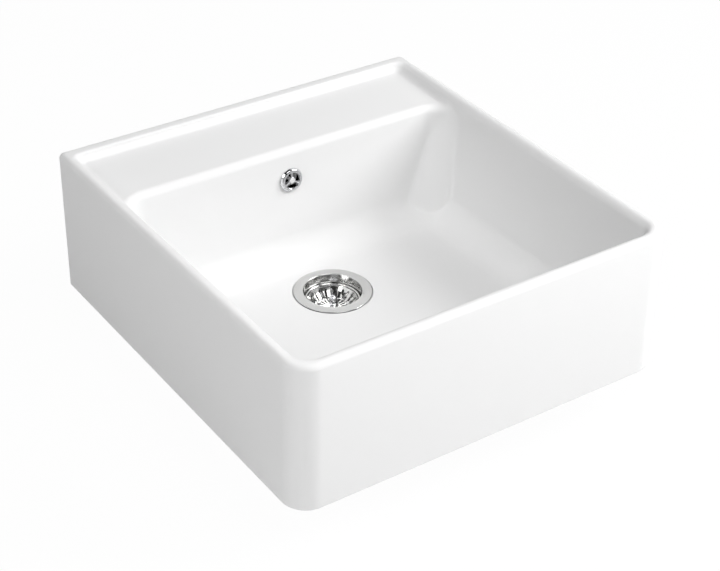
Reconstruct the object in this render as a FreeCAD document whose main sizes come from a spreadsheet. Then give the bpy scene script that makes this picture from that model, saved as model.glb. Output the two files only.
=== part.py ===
import FreeCAD, Part
import math
import os
import re

import Sketcher

# A fireclay apron front sink with a tap ledge, its basket strainer waste and its overflow fitting.
# Millimetres, +Z up, +Y to the back, +X to the right seen from the front.
# The origin is in the middle of the underside that stands on the cabinet.

SIZES = {
    # The fireclay body: outside
    "sink_width": 595,
    "sink_depth": 630,
    "sink_height": 220,
    "front_corner_radius": 36,
    "rear_corner_radius": 8.5,
    "outer_rim_radius": 8,
    "foot_edge_radius": 2,
    # The bowl and the tap ledge behind it
    "wall_at_rim": 20,
    "rear_wall_at_rim": 21,
    "inner_rim_radius": 7,
    "wall_draft": 3,
    "ledge_depth": 122,
    "bowl_front_radius": 24,
    "bowl_rear_radius": 42,
    "floor_height": 23,
    "floor_slope": 0.5,
    "floor_fillet": 44,
    "ledge_drop": 16.5,
    "ledge_slope": 1.6,
    "ledge_reach": 70,
    "ledge_corner_radius": 10,
    "ledge_cove": 6,
    "ledge_nose_radius": 11,
    # The underside: a recess round the waste and an open chamber under the ledge
    "foot_ring_width": 45,
    "foot_recess_depth": 6,
    "foot_recess_radius": 30,
    "foot_web": 20,
    "overflow_wall": 18,
    "chamber_back_wall": 20,
    "chamber_side_wall": 30,
    "ledge_thickness": 16.5,
    "chamber_corner_radius": 20,
    "chamber_roof_fillet": 5,
    # The waste outlet in the floor
    "drain_setback": 116,
    "drain_hole_radius": 45,
    "rebate_margin": 1.5,
    "rebate_depth": 2.6,
    # The pressed steel flange and cup
    "flange_land": 12,
    "flange_stand": 1,
    "steel_sheet": 1,
    "cup_clearance": 1.5,
    "cup_taper": 1.6,
    "cup_wall_end": 2,
    "cup_shoulder": 6.4,
    "cup_cone_end": -12,
    "cup_step": 4.5,
    "cup_floor": -16,
    "cup_bead": 0.6,
    "grate_outer_radius": 23,
    "grate_inner_radius": 11.5,
    "grate_openings": 6,
    "grate_bar": 4,
    "flange_bend": 1.5,
    "seal_inset": 1.2,
    # The moulded waste body below the floor
    "underside_seal_thickness": 3,
    "seal_land": 7,
    "body_rim_thickness": 4,
    "body_clearance": 1.6,
    "body_wall": 3,
    "body_wall_end": -30,
    "body_neck_start": -48,
    "outlet_radius": 23.9,
    "outlet_wall": 3.4,
    "outlet_end": -72,
    "outlet_collar_stand": 2.6,
    "outlet_collar_end": -53,
    "hub_wall": 2.5,
    "hub_top": -22,
    "hub_end": -46,
    "hub_ribs": 3,
    "hub_rib_thickness": 3,
    "hub_rib_top": -27,
    "rib_root": 1,
    "inlet_height": -20,
    "spigot_wall": 2.5,
    "inlet_end": 70,
    # The hollow clamping screw in its brass insert
    "clamp_head_radius": 9.5,
    "clamp_head_height": 2,
    "clamp_radius": 6,
    "clamp_wall": 2.1,
    "clamp_end": -44,
    "clamp_slot_width": 2.4,
    "clamp_slot_depth": 1.1,
    "clamp_tip": 0.8,
    "insert_radius": 8.5,
    "insert_top": -25,
    "insert_end": -43,
    "insert_waist": 0.8,
    "thread_clearance": 0.05,
    # The strainer basket
    "basket_clearance": 0.9,
    "basket_lip_height": 14,
    "basket_lip_roll": 1.4,
    "basket_sheet": 0.8,
    "basket_shoulder_inset": 2.4,
    "basket_shoulder_height": 9.5,
    "basket_flank_inset": 4.1,
    "basket_flank_height": 2,
    "basket_floor_radius": 24,
    "basket_floor_height": -6,
    "basket_flank_bend": 14,
    "basket_slots": 24,
    "basket_slot_width": 2.6,
    "basket_slot_start": 13,
    "basket_slot_end": 35,
    # The basket's knob, stem, clip and seal
    "knob_drum_radius": 4.6,
    "knob_collar_radius": 5.4,
    "knob_collar_foot": -0.6,
    "knob_collar_top": 0.4,
    "knob_flare": 4,
    "knob_neck_radius": 2.4,
    "knob_neck_height": 3.6,
    "knob_head_foot": 4.6,
    "knob_head_radius": 5.75,
    "knob_head_centre": 9.8,
    "knob_head_top": 15.4,
    "knob_head_flat": 1,
    "stem_thread_radius": 2,
    "stem_thread_top": 0,
    "stem_collar_radius": 5,
    "stem_collar_height": 1.8,
    "stem_radius": 2.5,
    "stem_end": -40,
    "seal_centre_thickness": 3,
    "seal_lip_inset": 1,
    "seal_lip_width": 3,
    "seal_lip_height": 2,
    "seal_gap": 0.3,
    "seal_flat_margin": 1,
    "retainer_radius": 15,
    "retainer_thickness": 1.2,
    "clip_clearance": 0.5,
    "clip_top": -26,
    "clip_end": -37,
    "clip_seat": 0.4,
    "clip_swell": 0.5,
    "clip_slit": 0.8,
    # The overflow fitting, on an axis square to the rear wall of the bowl
    "overflow_drop": 65,
    "overflow_hole_radius": 13.5,
    "rosette_land": 5,
    "rosette_edge": 0.8,
    "rosette_dome": 3.6,
    "rosette_shoulder": 2.3,
    "rosette_face": 4,
    "rosette_skirt_wall": 0.7,
    "rosette_grille_depth": 1.4,
    "rosette_grille_thickness": 1.4,
    "rosette_openings": 3,
    "rosette_spoke": 3.2,
    "rosette_boss_radius": 4.8,
    "rosette_boss_stand": 0.9,
    "rosette_skirt_length": 5,
    "overflow_seal_thickness": 1,
    "overflow_screw_radius": 2.5,
    "overflow_screw_head": 4,
    "overflow_screw_length": 38,
    "overflow_screw_sink": 1.5,
    "overflow_screw_crown": 0.5,
    "overflow_screw_face": 2.6,
    "overflow_screw_slot": 1,
    "elbow_flange_land": 5,
    "rear_seal_thickness": 3,
    "elbow_flange_thickness": 4,
    "elbow_margin": 1,
    "elbow_wall": 2.5,
    "elbow_depth": 36,
    "elbow_hub_wall": 2,
    "elbow_hub_start": 3,
    "elbow_hub_length": 13,
    "elbow_spokes": 3,
    "elbow_spoke_thickness": 2.4,
    "elbow_spigot_depth": 20,
    "elbow_spigot_end": 38,
    "overflow_insert_radius": 4.2,
    "overflow_insert_length": 11,
    # The overflow pipe and its union nuts
    "pipe_radius": 10,
    "pipe_wall": 1.8,
    "pipe_bend": 30,
    "pipe_insertion": 14,
    "pipe_clearance": 0.5,
    "pipe_seal_thickness": 3,
    "nut_wall": 4.5,
    "nut_length": 19,
    "nut_shoulder": 2.6,
    "nut_edge": 1,
    "nut_flutes": 12,
    "nut_flute_radius": 2.2,
    "running_clearance": 0.3,
    # How far a cut runs past the piece that it opens
    "overrun": 1,
}

document = FreeCAD.newDocument("apron_front_sink")
sheet = document.addObject("Spreadsheet::Sheet", "Sizes")
for row, (alias, size) in enumerate(SIZES.items(), start=1):
    sheet.set(f"A{row}", alias)
    sheet.set(f"B{row}", str(size))
    sheet.setAlias(f"B{row}", alias)
document.recompute()

# Edges to be rounded are found by their middle points, which lie this near to where they should.
NEAR = 0.2

CUBIC_CENTIMETRE = 1000

# Places and radii that follow from the sizes above, so that pieces which meet stay together.
DERIVED = {
    "bowl_front": "wall_at_rim - sink_depth / 2",
    "bowl_back": "sink_depth / 2 - rear_wall_at_rim - ledge_depth",
    "ledge_front": "bowl_back - ledge_reach",
    "ledge_back": "sink_depth / 2 - rear_wall_at_rim",
    "ledge_height": "sink_height - ledge_drop",
    "chamber_height": "ledge_height - ledge_thickness",
    "wall_back_at_foot": "bowl_back - sink_height * tan(wall_draft) + overflow_wall / cos(wall_draft)",
    "drain_y": "bowl_back - drain_setback",
    "flange_radius": "drain_hole_radius + flange_land",
    "rebate_radius": "flange_radius + rebate_margin",
    "flange_top": "floor_height + flange_stand",
    "seat_top": "floor_height - rebate_depth",
    "flange_seal_top": "flange_top - steel_sheet",
    "cup_mouth_radius": "drain_hole_radius - cup_clearance - steel_sheet",
    "cup_wall_radius": "cup_mouth_radius - cup_taper",
    "cup_cone_radius": "cup_wall_radius - cup_shoulder",
    "cup_seat_radius": "cup_cone_radius - cup_step",
    "underside_seal_foot": "foot_recess_depth - underside_seal_thickness",
    "body_rim_radius": "drain_hole_radius + seal_land",
    "body_bore": "cup_wall_radius + steel_sheet + body_clearance",
    "body_wall_radius": "body_bore + body_wall",
    "outlet_bore": "outlet_radius - outlet_wall",
    "outlet_collar": "outlet_radius + outlet_collar_stand",
    "hub_radius": "insert_radius + hub_wall",
    "clamp_bore": "clamp_radius - clamp_wall",
    "clip_radius": "clamp_bore - clip_clearance",
    "spigot_bore": "pipe_radius + pipe_clearance",
    "spigot_radius": "spigot_bore + spigot_wall",
    "nut_radius": "spigot_radius + nut_wall",
    "basket_lip_radius": "cup_wall_radius - basket_clearance",
    "basket_shoulder_radius": "basket_lip_radius - basket_shoulder_inset",
    "basket_flank_radius": "basket_shoulder_radius - basket_flank_inset",
    "basket_underside": "basket_floor_height - basket_sheet",
    "stem_collar_top": "basket_underside - seal_centre_thickness - retainer_thickness",
    "seal_lip_radius": "cup_seat_radius - seal_lip_inset",
    "overflow_height": "sink_height - overflow_drop",
    "overflow_y": "bowl_back - overflow_drop * tan(wall_draft)",
    "rosette_radius": "overflow_hole_radius + rosette_land",
    "rosette_ring_radius": "rosette_radius - rosette_shoulder",
    "rosette_opening_radius": "overflow_hole_radius - running_clearance - rosette_skirt_wall",
    "rosette_front": "overflow_seal_thickness + rosette_face",
    "rosette_boss_top": "rosette_front - rosette_grille_depth + rosette_boss_stand",
    "elbow_seat": "overflow_wall + rear_seal_thickness",
    "elbow_bore": "overflow_hole_radius + elbow_margin",
    "elbow_radius": "elbow_bore + elbow_wall",
    "rear_seal_radius": "elbow_radius + elbow_flange_land",
    "elbow_hub_radius": "overflow_insert_radius + elbow_hub_wall",
    "spigot_axis": "elbow_seat + elbow_spigot_depth",
}


def expression(text):
    """The text with each size's name pointed at its cell, and each derived name written out."""
    def spelled(word):
        if word[0] in DERIVED:
            return f"({expression(DERIVED[word[0]])})"
        return "Sizes." + word[0] if word[0] in SIZES else word[0]

    return re.sub(r"[a-z_]+[a-z]", spelled, text)


def value(text):
    return float(sheet.evalExpression(expression(text)))


def floor_at(y):
    return f"(floor_height - (({y}) - drain_y) * tan(floor_slope))"


def ledge_at(y):
    return f"(ledge_height + (({y}) - bowl_back) * tan(ledge_slope))"


def new_body(label):
    body = document.addObject("PartDesign::Body", label)
    body.Label = label
    return body


def new_sketch(body, name, role, rise=None, turn=None):
    """A sketch on one of the body's own origin planes, raised along the plane's normal by rise."""
    sketch = body.newObject("Sketcher::SketchObject", name)
    plane = next(item for item in body.Origin.OriginFeatures if item.Role == role)
    sketch.AttachmentSupport = [(plane, "")]
    sketch.MapMode = "FlatFace"
    if rise:
        sketch.setExpression("AttachmentOffset.Base.z", expression(rise))
    if turn:
        sketch.setExpression("AttachmentOffset.Rotation.Angle", expression(turn))
    return sketch


def pin_point(sketch, side, end, across, up):
    """Hold one end of a side at a place that is given by two sizes."""
    for kind, axis, text in (("DistanceX", "x", across), ("DistanceY", "y", up)):
        index = sketch.addConstraint(Sketcher.Constraint(kind, -1, 1, side, end, value(text)))
        name = f"{axis}{side}_{end}"
        sketch.renameConstraint(index, name)
        sketch.setExpression(f"Constraints.{name}", expression(text))


def pin_radius(sketch, side, text):
    index = sketch.addConstraint(Sketcher.Constraint("Radius", side, value(text)))
    sketch.renameConstraint(index, f"r{side}")
    sketch.setExpression(f"Constraints.r{side}", expression(text))


def draw_arc(sketch, start, end, radius, outward):
    """Add an arc from start to end that bulges to the right of its way, or to the left."""
    middle = (start + end) / 2
    way = end - start
    left = FreeCAD.Vector(-way.y, way.x, 0).normalize()
    reach = math.sqrt(max(radius ** 2 - way.Length ** 2 / 4, 0))
    centre = middle + left * (reach if outward else -reach)
    first, last = (start, end) if outward else (end, start)
    angles = [math.atan2(point.y - centre.y, point.x - centre.x) for point in (first, last)]
    circle = Part.Circle(centre, FreeCAD.Vector(0, 0, 1), radius)
    return sketch.addGeometry(Part.ArcOfCircle(circle, *angles))


def draw_chain(sketch, corners, closed=True):
    """Join corners (across, up, bend) by sides. A bend makes the side that follows an arc of that
    radius, which bulges to the right of its way, or to the left where the bend starts with a minus."""
    points = [FreeCAD.Vector(value(corner[0]), value(corner[1]), 0) for corner in corners]
    count = len(corners) if closed else len(corners) - 1
    sides = []
    for index in range(count):
        corner = corners[index]
        start, end = points[index], points[(index + 1) % len(points)]
        bend = corner[2] if len(corner) > 2 else ""
        if not bend:
            sides.append((sketch.addGeometry(Part.LineSegment(start, end)), 1, 2))
            continue
        outward = not bend.startswith("-")
        radius = bend.lstrip("-")
        side = draw_arc(sketch, start, end, value(radius), outward)
        pin_radius(sketch, side, radius)
        sides.append((side, 1, 2) if outward else (side, 2, 1))
    for index, (side, _, end) in enumerate(sides):
        if closed or index + 1 < count:
            following = sides[(index + 1) % len(sides)]
            sketch.addConstraint(Sketcher.Constraint("Coincident", side, end, following[0], following[1]))
        pin_point(sketch, side, sides[index][1], corners[index][0], corners[index][1])
    if not closed:
        pin_point(sketch, sides[-1][0], sides[-1][2], corners[-1][0], corners[-1][1])
    return sides


def draw_circle(sketch, across, up, radius):
    centre = FreeCAD.Vector(value(across), value(up), 0)
    side = sketch.addGeometry(Part.Circle(centre, FreeCAD.Vector(0, 0, 1), value(radius)))
    pin_point(sketch, side, 3, across, up)
    pin_radius(sketch, side, radius)


def draw_rounded_rectangle(sketch, left, right, front, back, front_radius, back_radius):
    draw_chain(sketch, [
        (f"{left} + {front_radius}", front),
        (f"{right} - {front_radius}", front, front_radius),
        (right, f"{front} + {front_radius}"),
        (right, f"{back} - {back_radius}", back_radius),
        (f"{right} - {back_radius}", back),
        (f"{left} + {back_radius}", back, back_radius),
        (left, f"{back} - {back_radius}"),
        (left, f"{front} + {front_radius}", front_radius),
    ])


def draw_rectangle(sketch, half_length, half_width):
    draw_chain(sketch, [
        (f"-({half_length})", f"-({half_width})"),
        (half_length, f"-({half_width})"),
        (half_length, half_width),
        (f"-({half_length})", half_width),
    ])


def draw_sector(sketch, inner, outer, count, bar):
    """One opening of a round grate, about the sketch's own X axis, between two parallel-sided bars."""
    def half_angle(radius):
        return f"(180 deg / {count} - asin({bar} / 2 / ({radius})))"

    def end_of(radius, sign):
        return f"({radius}) * cos({half_angle(radius)})", f"{sign}({radius}) * sin({half_angle(radius)})"

    draw_chain(sketch, [
        (*end_of(outer, "-"), outer),
        end_of(outer, ""),
        (*end_of(inner, ""), f"-({inner})"),
        end_of(inner, "-"),
    ])


def grow(body, kind, name, profile, sizes=None, **choices):
    """Add a feature made from a sketch, with its sizes bound to the sheet."""
    item = body.newObject("PartDesign::" + kind, name)
    item.Profile = profile
    for key, choice in choices.items():
        setattr(item, key, choice)
    for key, text in (sizes or {}).items():
        item.setExpression(key, expression(text))
    document.recompute()
    return item


def revolve(body, name, corners, kind="Revolution"):
    """Turn a closed profile of (radius, height) corners round the body's own vertical axis."""
    sketch = new_sketch(body, name + "_profile", "XZ_Plane")
    draw_chain(sketch, corners)
    return grow(body, kind, name, sketch, Angle=360, ReferenceAxis=(sketch, ["V_Axis"]))


def round_edges(body, name, radius, chosen):
    """Fillet the edges of the body so far whose middle point passes the test."""
    base = body.Tip
    names = []
    for index, edge in enumerate(base.Shape.Edges, start=1):
        middle = edge.valueAt((edge.FirstParameter + edge.LastParameter) / 2)
        if chosen(middle):
            names.append(f"Edge{index}")
    item = body.newObject("PartDesign::Fillet", name)
    item.Base = (base, names)
    item.setExpression("Radius", expression(radius))
    document.recompute()
    return item


def repeat_round(body, name, originals, count, axis_role="Z_Axis"):
    """Repeat features round one of the body's own axes."""
    pattern = body.newObject("PartDesign::PolarPattern", name)
    pattern.Originals = originals
    axis = next(item for item in body.Origin.OriginFeatures if item.Role == axis_role)
    pattern.Axis = (axis, [""])
    pattern.Angle = 360
    pattern.setExpression("Occurrences", expression(count))
    body.Tip = pattern
    document.recompute()
    return pattern


def stand_on_drain(body):
    """Put a piece that was drawn round its own axis on the axis of the waste."""
    body.setExpression("Placement.Base.y", expression("drain_y"))
    return body


def tilt_about_x(item, angle, y, z, key="Placement"):
    """Turn a body, or a sketch on its plane, about X, and put it at a height and a depth."""
    setattr(item, key, FreeCAD.Placement(FreeCAD.Vector(), FreeCAD.Rotation(FreeCAD.Vector(1, 0, 0), 90)))
    item.setExpression(f"{key}.Rotation.Angle", expression(angle))
    item.setExpression(f"{key}.Base.y", expression(y))
    item.setExpression(f"{key}.Base.z", expression(z))
    return item


def stand_on_overflow(item, key="Placement"):
    """Turn an item so that its own +Z points out of the rear wall, square to it, and its +Y up."""
    return tilt_about_x(item, "90 - wall_draft", "overflow_y", "overflow_height", key)


def make_sink_body():
    """The cast body: apron, drafted bowl, sloping tap ledge with its upstand, chamber and foot."""
    body = new_body("sink_body")
    half = "sink_width / 2"
    front = "(-sink_depth / 2)"
    back = "(sink_depth / 2)"

    block = new_sketch(body, "block_plan", "XY_Plane")
    draw_rounded_rectangle(block, f"(-{half})", f"({half})", front, back,
                           "front_corner_radius", "rear_corner_radius")
    grow(body, "Pad", "block", block, {"Length": "sink_height"})
    round_edges(body, "outer_rim", "outer_rim_radius",
                lambda middle: abs(middle.z - value("sink_height")) < NEAR)
    round_edges(body, "foot_edge", "foot_edge_radius", lambda middle: abs(middle.z) < NEAR)

    # The ledge is sunk below the rim, drafted like the bowl, and its floor rises to the back.
    tray = new_sketch(body, "ledge_plan", "XY_Plane", rise="sink_height")
    inner_left, inner_right = f"(wall_at_rim - {half})", f"({half} - wall_at_rim)"
    draw_chain(tray, [
        (inner_left, "ledge_front"),
        (inner_right, "ledge_front"),
        (inner_right, "ledge_back - ledge_corner_radius", "ledge_corner_radius"),
        (f"{inner_right} - ledge_corner_radius", "ledge_back"),
        (f"{inner_left} + ledge_corner_radius", "ledge_back", "ledge_corner_radius"),
        (inner_left, "ledge_back - ledge_corner_radius"),
    ])
    grow(body, "Pocket", "ledge_recess", tray,
         {"Length": f"sink_height - {ledge_at('ledge_front')}", "TaperAngle": "-wall_draft"})
    slope = new_sketch(body, "ledge_slope_side", "YZ_Plane")
    slab_back = "(ledge_back + rear_wall_at_rim / 2)"
    slab_foot = f"({ledge_at('ledge_front')} - wall_at_rim)"
    draw_chain(slope, [
        ("ledge_front", slab_foot),
        (slab_back, slab_foot),
        (slab_back, ledge_at(slab_back)),
        ("ledge_front", ledge_at("ledge_front")),
    ])
    grow(body, "Pad", "ledge_floor", slope, {"Length": "sink_width - wall_at_rim"}, Midplane=True)

    def on_ledge_border(middle):
        return (abs(middle.z - value(ledge_at(str(middle.y)))) < NEAR
                and value("ledge_front") + NEAR < middle.y < value("ledge_back"))

    round_edges(body, "ledge_cove_round", "ledge_cove", on_ledge_border)

    # The bowl, with drafted walls, and a floor that falls towards the waste.
    bowl = new_sketch(body, "bowl_plan", "XY_Plane", rise="sink_height")
    draw_rounded_rectangle(bowl, inner_left, inner_right, "bowl_front", "bowl_back",
                           "bowl_front_radius", "bowl_rear_radius")
    grow(body, "Pocket", "bowl", bowl,
         {"Length": f"sink_height - {floor_at('bowl_back')}", "TaperAngle": "-wall_draft"})
    fall = new_sketch(body, "floor_side", "YZ_Plane")
    draw_chain(fall, [
        ("bowl_front", "floor_height / 2"),
        ("bowl_back", "floor_height / 2"),
        ("bowl_back", floor_at("bowl_back")),
        ("bowl_front", floor_at("bowl_front")),
    ])
    grow(body, "Pad", "bowl_floor", fall, {"Length": "sink_width - 2 * wall_at_rim"}, Midplane=True)

    def on_floor_border(middle):
        return abs(middle.z - value(floor_at(str(middle.y)))) < NEAR

    round_edges(body, "floor_round", "floor_fillet", on_floor_border)

    def on_ledge_nose(middle):
        return (abs(middle.z - value(ledge_at(str(middle.y)))) < value("ledge_cove") / 2
                and middle.y < value("bowl_back") and abs(middle.x) < value(inner_right) - NEAR)

    round_edges(body, "ledge_nose", "ledge_nose_radius", on_ledge_nose)

    # The chamber under the ledge is open below. Its front wall is parallel to the bowl's rear wall.
    chamber = new_sketch(body, "chamber_plan", "XY_Plane")
    draw_rounded_rectangle(chamber, f"(chamber_side_wall - {half})", f"({half} - chamber_side_wall)",
                           "wall_back_at_foot", f"({back} - chamber_back_wall)",
                           "chamber_corner_radius", "chamber_corner_radius")
    grow(body, "Pocket", "chamber", chamber,
         {"Length": "chamber_height", "TaperAngle": "-wall_draft"}, Reversed=True)
    round_edges(body, "chamber_roof", "chamber_roof_fillet",
                lambda middle: abs(middle.z - value("chamber_height")) < NEAR)
    recess = new_sketch(body, "foot_recess_plan", "XY_Plane")
    draw_rounded_rectangle(recess, f"(foot_ring_width - {half})", f"({half} - foot_ring_width)",
                           f"({front} + foot_ring_width)", "(wall_back_at_foot - foot_web)",
                           "foot_recess_radius", "foot_recess_radius")
    grow(body, "Pocket", "foot_recess", recess, {"Length": "foot_recess_depth"}, Reversed=True)

    # The waste outlet with its rebate for the flange, and the overflow hole square to the wall.
    rebate = new_sketch(body, "rebate_circle", "XY_Plane", rise="flange_top")
    draw_circle(rebate, "0", "drain_y", "rebate_radius")
    grow(body, "Pocket", "rebate", rebate, {"Length": "flange_top - seat_top"})
    outlet = new_sketch(body, "outlet_circle", "XY_Plane", rise="seat_top")
    draw_circle(outlet, "0", "drain_y", "drain_hole_radius")
    grow(body, "Pocket", "outlet", outlet, {"Length": "floor_height"})
    overflow = new_sketch(body, "overflow_circle", "XY_Plane")
    stand_on_overflow(overflow, "AttachmentOffset")
    draw_circle(overflow, "0", "0", "overflow_hole_radius")
    grow(body, "Pocket", "overflow", overflow, {"Length": "elbow_seat"})

    def on_inner_rim(middle):
        return (abs(middle.z - value("sink_height")) < NEAR
                and abs(middle.x) < value(inner_right) + NEAR
                and value("bowl_front") - NEAR < middle.y < value("ledge_back") + NEAR)

    round_edges(body, "inner_rim", "inner_rim_radius", on_inner_rim)
    return body


def make_waste_flange():
    """The pressed steel flange and cup: its floor is a seat for the basket's seal and a grate."""
    body = stand_on_drain(new_body("waste_flange"))
    hole = "(clamp_radius + running_clearance)"
    revolve(body, "pressing", [
        (hole, "cup_floor - steel_sheet"),
        ("cup_seat_radius + steel_sheet / 2", "cup_floor - steel_sheet"),
        ("cup_cone_radius + steel_sheet", "cup_cone_end - steel_sheet / 2"),
        ("cup_wall_radius + steel_sheet", "cup_wall_end"),
        ("cup_mouth_radius + steel_sheet", "flange_top - steel_sheet - flange_bend", "-flange_bend"),
        ("cup_mouth_radius + steel_sheet + flange_bend", "flange_top - steel_sheet"),
        ("flange_radius", "flange_top - steel_sheet", "steel_sheet"),
        ("flange_radius - steel_sheet", "flange_top"),
        ("cup_mouth_radius + 2 * flange_bend", "flange_top"),
        ("cup_mouth_radius + flange_bend", "flange_top + cup_bead", "flange_bend"),
        ("cup_mouth_radius", "flange_top + cup_bead - flange_bend"),
        ("cup_wall_radius", "cup_wall_end"),
        ("cup_cone_radius", "cup_cone_end"),
        ("cup_seat_radius", "cup_floor"),
        (hole, "cup_floor"),
    ])
    opening = new_sketch(body, "grate_opening", "XY_Plane", rise="cup_floor")
    draw_sector(opening, "grate_inner_radius", "grate_outer_radius", "grate_openings", "grate_bar")
    cut = grow(body, "Pocket", "grate", opening, {"Length": "2 * steel_sheet"})
    repeat_round(body, "grate_round", [cut], "grate_openings")
    return body


def make_ring(label, inner, outer, foot, top):
    """A plain ring, such as a flat seal, round the body's own vertical axis."""
    body = new_body(label)
    revolve(body, "ring", [(inner, foot), (outer, foot), (outer, top), (inner, top)])
    return body


def make_waste_body():
    """The moulded cup below the floor, with its outlet, its overflow inlet and the screw's hub."""
    body = stand_on_drain(new_body("waste_body"))
    rim_foot = "(underside_seal_foot - body_rim_thickness)"
    cone_top = "(body_wall_end + body_wall / 2)"
    cone_end = "(body_neck_start - body_wall)"
    revolve(body, "outside", [
        ("0", "outlet_end"),
        ("outlet_radius", "outlet_end"),
        ("outlet_radius", "outlet_collar_end"),
        ("outlet_collar", "outlet_collar_end"),
        ("outlet_collar", "body_neck_start"),
        ("body_wall_radius", "body_wall_end"),
        ("body_wall_radius", rim_foot),
        ("body_rim_radius", rim_foot),
        ("body_rim_radius", "underside_seal_foot"),
        ("0", "underside_seal_foot"),
    ])
    inlet = new_sketch(body, "inlet_circle", "XZ_Plane")
    draw_circle(inlet, "0", "inlet_height", "spigot_radius")
    grow(body, "Pad", "inlet", inlet, {"Length": "inlet_end"}, Reversed=True)
    revolve(body, "inside", [
        ("0", "outlet_end"),
        ("outlet_bore", "outlet_end"),
        ("outlet_bore", cone_end),
        ("body_bore", cone_top),
        ("body_bore", "underside_seal_foot"),
        ("0", "underside_seal_foot"),
    ], "Groove")
    bore = new_sketch(body, "inlet_bore", "XZ_Plane")
    draw_circle(bore, "0", "inlet_height", "spigot_bore")
    grow(body, "Pocket", "inlet_bore_cut", bore, {"Length": "inlet_end"})

    # The hub hangs in the flow on ribs, which are sunk a third of the way into the wall.
    sunk = "body_wall / 3"
    foot_reach = (f"(outlet_bore + (hub_end - {cone_end}) * (body_bore - outlet_bore)"
                  f" / ({cone_top} - {cone_end}) + {sunk})")
    rib = new_sketch(body, "rib_side", "XZ_Plane")
    draw_chain(rib, [
        ("hub_radius - rib_root", "hub_end"),
        (foot_reach, "hub_end"),
        (f"body_bore + {sunk}", cone_top),
        (f"body_bore + {sunk}", "hub_rib_top"),
        ("hub_radius - rib_root", "hub_rib_top"),
    ])
    first_rib = grow(body, "Pad", "rib", rib, {"Length": "hub_rib_thickness"}, Midplane=True)
    repeat_round(body, "ribs", [first_rib], "hub_ribs")
    revolve(body, "hub", [
        ("insert_radius", "hub_end"),
        ("hub_radius", "hub_end"),
        ("hub_radius", "hub_top"),
        ("clamp_radius + running_clearance", "hub_top"),
        ("clamp_radius + running_clearance", "insert_top"),
        ("insert_radius", "insert_top"),
    ])
    return body


def make_clamp_screw():
    """The hollow screw that draws the waste body up to the flange, with two key slots."""
    body = stand_on_drain(new_body("clamp_screw"))
    head_top = "(cup_floor + clamp_head_height)"
    revolve(body, "turning", [
        ("clamp_bore", "clamp_end"),
        ("clamp_radius - clamp_tip", "clamp_end"),
        ("clamp_radius", "clamp_end + clamp_tip"),
        ("clamp_radius", "cup_floor"),
        ("clamp_head_radius", "cup_floor"),
        ("clamp_head_radius", f"{head_top} - clamp_tip", "clamp_tip"),
        ("clamp_head_radius - clamp_tip", head_top),
        ("clamp_bore", head_top),
    ])
    slot = new_sketch(body, "key_slot", "XY_Plane", rise=head_top)
    draw_rectangle(slot, "clamp_head_radius + overrun", "clamp_slot_width / 2")
    grow(body, "Pocket", "key_slots", slot, {"Length": "clamp_slot_depth"})
    return body


def make_insert(label, bore, radius, foot, top):
    """A brass threaded insert with a waist that locks it in the moulding."""
    body = new_body(label)
    middle = f"(({top} + {foot}) / 2)"
    waist = f"({radius} - insert_waist)"
    revolve(body, "turning", [
        (bore, foot),
        (radius, foot),
        (radius, f"{middle} - 2 * insert_waist"),
        (waist, f"{middle} - insert_waist"),
        (waist, f"{middle} + insert_waist"),
        (radius, f"{middle} + 2 * insert_waist"),
        (radius, top),
        (bore, top),
    ])
    return body


def make_basket():
    """The pressed strainer basket: a rolled lip, a curved flank and radial slots from its floor up."""
    body = stand_on_drain(new_body("basket"))
    hole = "(stem_thread_radius + thread_clearance)"
    lip_foot = "(basket_lip_height - 2 * basket_lip_roll)"
    lip_middle = "(basket_lip_height - basket_lip_roll)"
    revolve(body, "pressing", [
        (hole, "basket_underside"),
        ("basket_floor_radius", "basket_underside", "basket_flank_bend"),
        ("basket_flank_radius + basket_sheet", "basket_flank_height"),
        ("basket_shoulder_radius + basket_sheet", "basket_shoulder_height"),
        ("basket_lip_radius - basket_lip_roll", lip_foot, "basket_lip_roll"),
        ("basket_lip_radius", lip_middle, "basket_lip_roll"),
        ("basket_lip_radius - basket_lip_roll", "basket_lip_height", "basket_lip_roll"),
        ("basket_lip_radius - 2 * basket_lip_roll", lip_middle),
        ("basket_shoulder_radius", "basket_shoulder_height"),
        ("basket_flank_radius", "basket_flank_height", "-(basket_flank_bend - basket_sheet)"),
        ("basket_floor_radius", "basket_floor_height"),
        (hole, "basket_floor_height"),
    ])
    half_width = "basket_slot_width / 2"
    slot = new_sketch(body, "slot_plan", "XY_Plane", rise="basket_shoulder_height")
    draw_chain(slot, [
        (f"basket_slot_start + {half_width}", f"-{half_width}"),
        (f"basket_slot_end - {half_width}", f"-{half_width}", half_width),
        ("basket_slot_end", "0", half_width),
        (f"basket_slot_end - {half_width}", half_width),
        (f"basket_slot_start + {half_width}", half_width, half_width),
        ("basket_slot_start", "0", half_width),
    ])
    cut = grow(body, "Pocket", "slot", slot, {"Length": "basket_shoulder_height - cup_floor"})
    repeat_round(body, "slots", [cut], "basket_slots")
    return body


def make_basket_knob():
    """The turned pull knob: a drum on the basket's floor, a flared collar, a neck and a ball head."""
    body = stand_on_drain(new_body("basket_knob"))
    revolve(body, "turning", [
        ("stem_thread_radius", "basket_floor_height"),
        ("knob_drum_radius", "basket_floor_height"),
        ("knob_drum_radius", "knob_collar_foot"),
        ("knob_collar_radius", "knob_collar_foot"),
        ("knob_collar_radius", "knob_collar_top", "-knob_flare"),
        ("knob_neck_radius", "knob_neck_height"),
        ("knob_neck_radius", "knob_head_foot", "knob_head_radius"),
        ("knob_head_radius", "knob_head_centre", "knob_head_radius"),
        ("knob_head_flat", "knob_head_top"),
        ("0", "knob_head_top"),
        ("0", "stem_thread_top"),
        ("stem_thread_radius", "stem_thread_top"),
    ])
    return body


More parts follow.
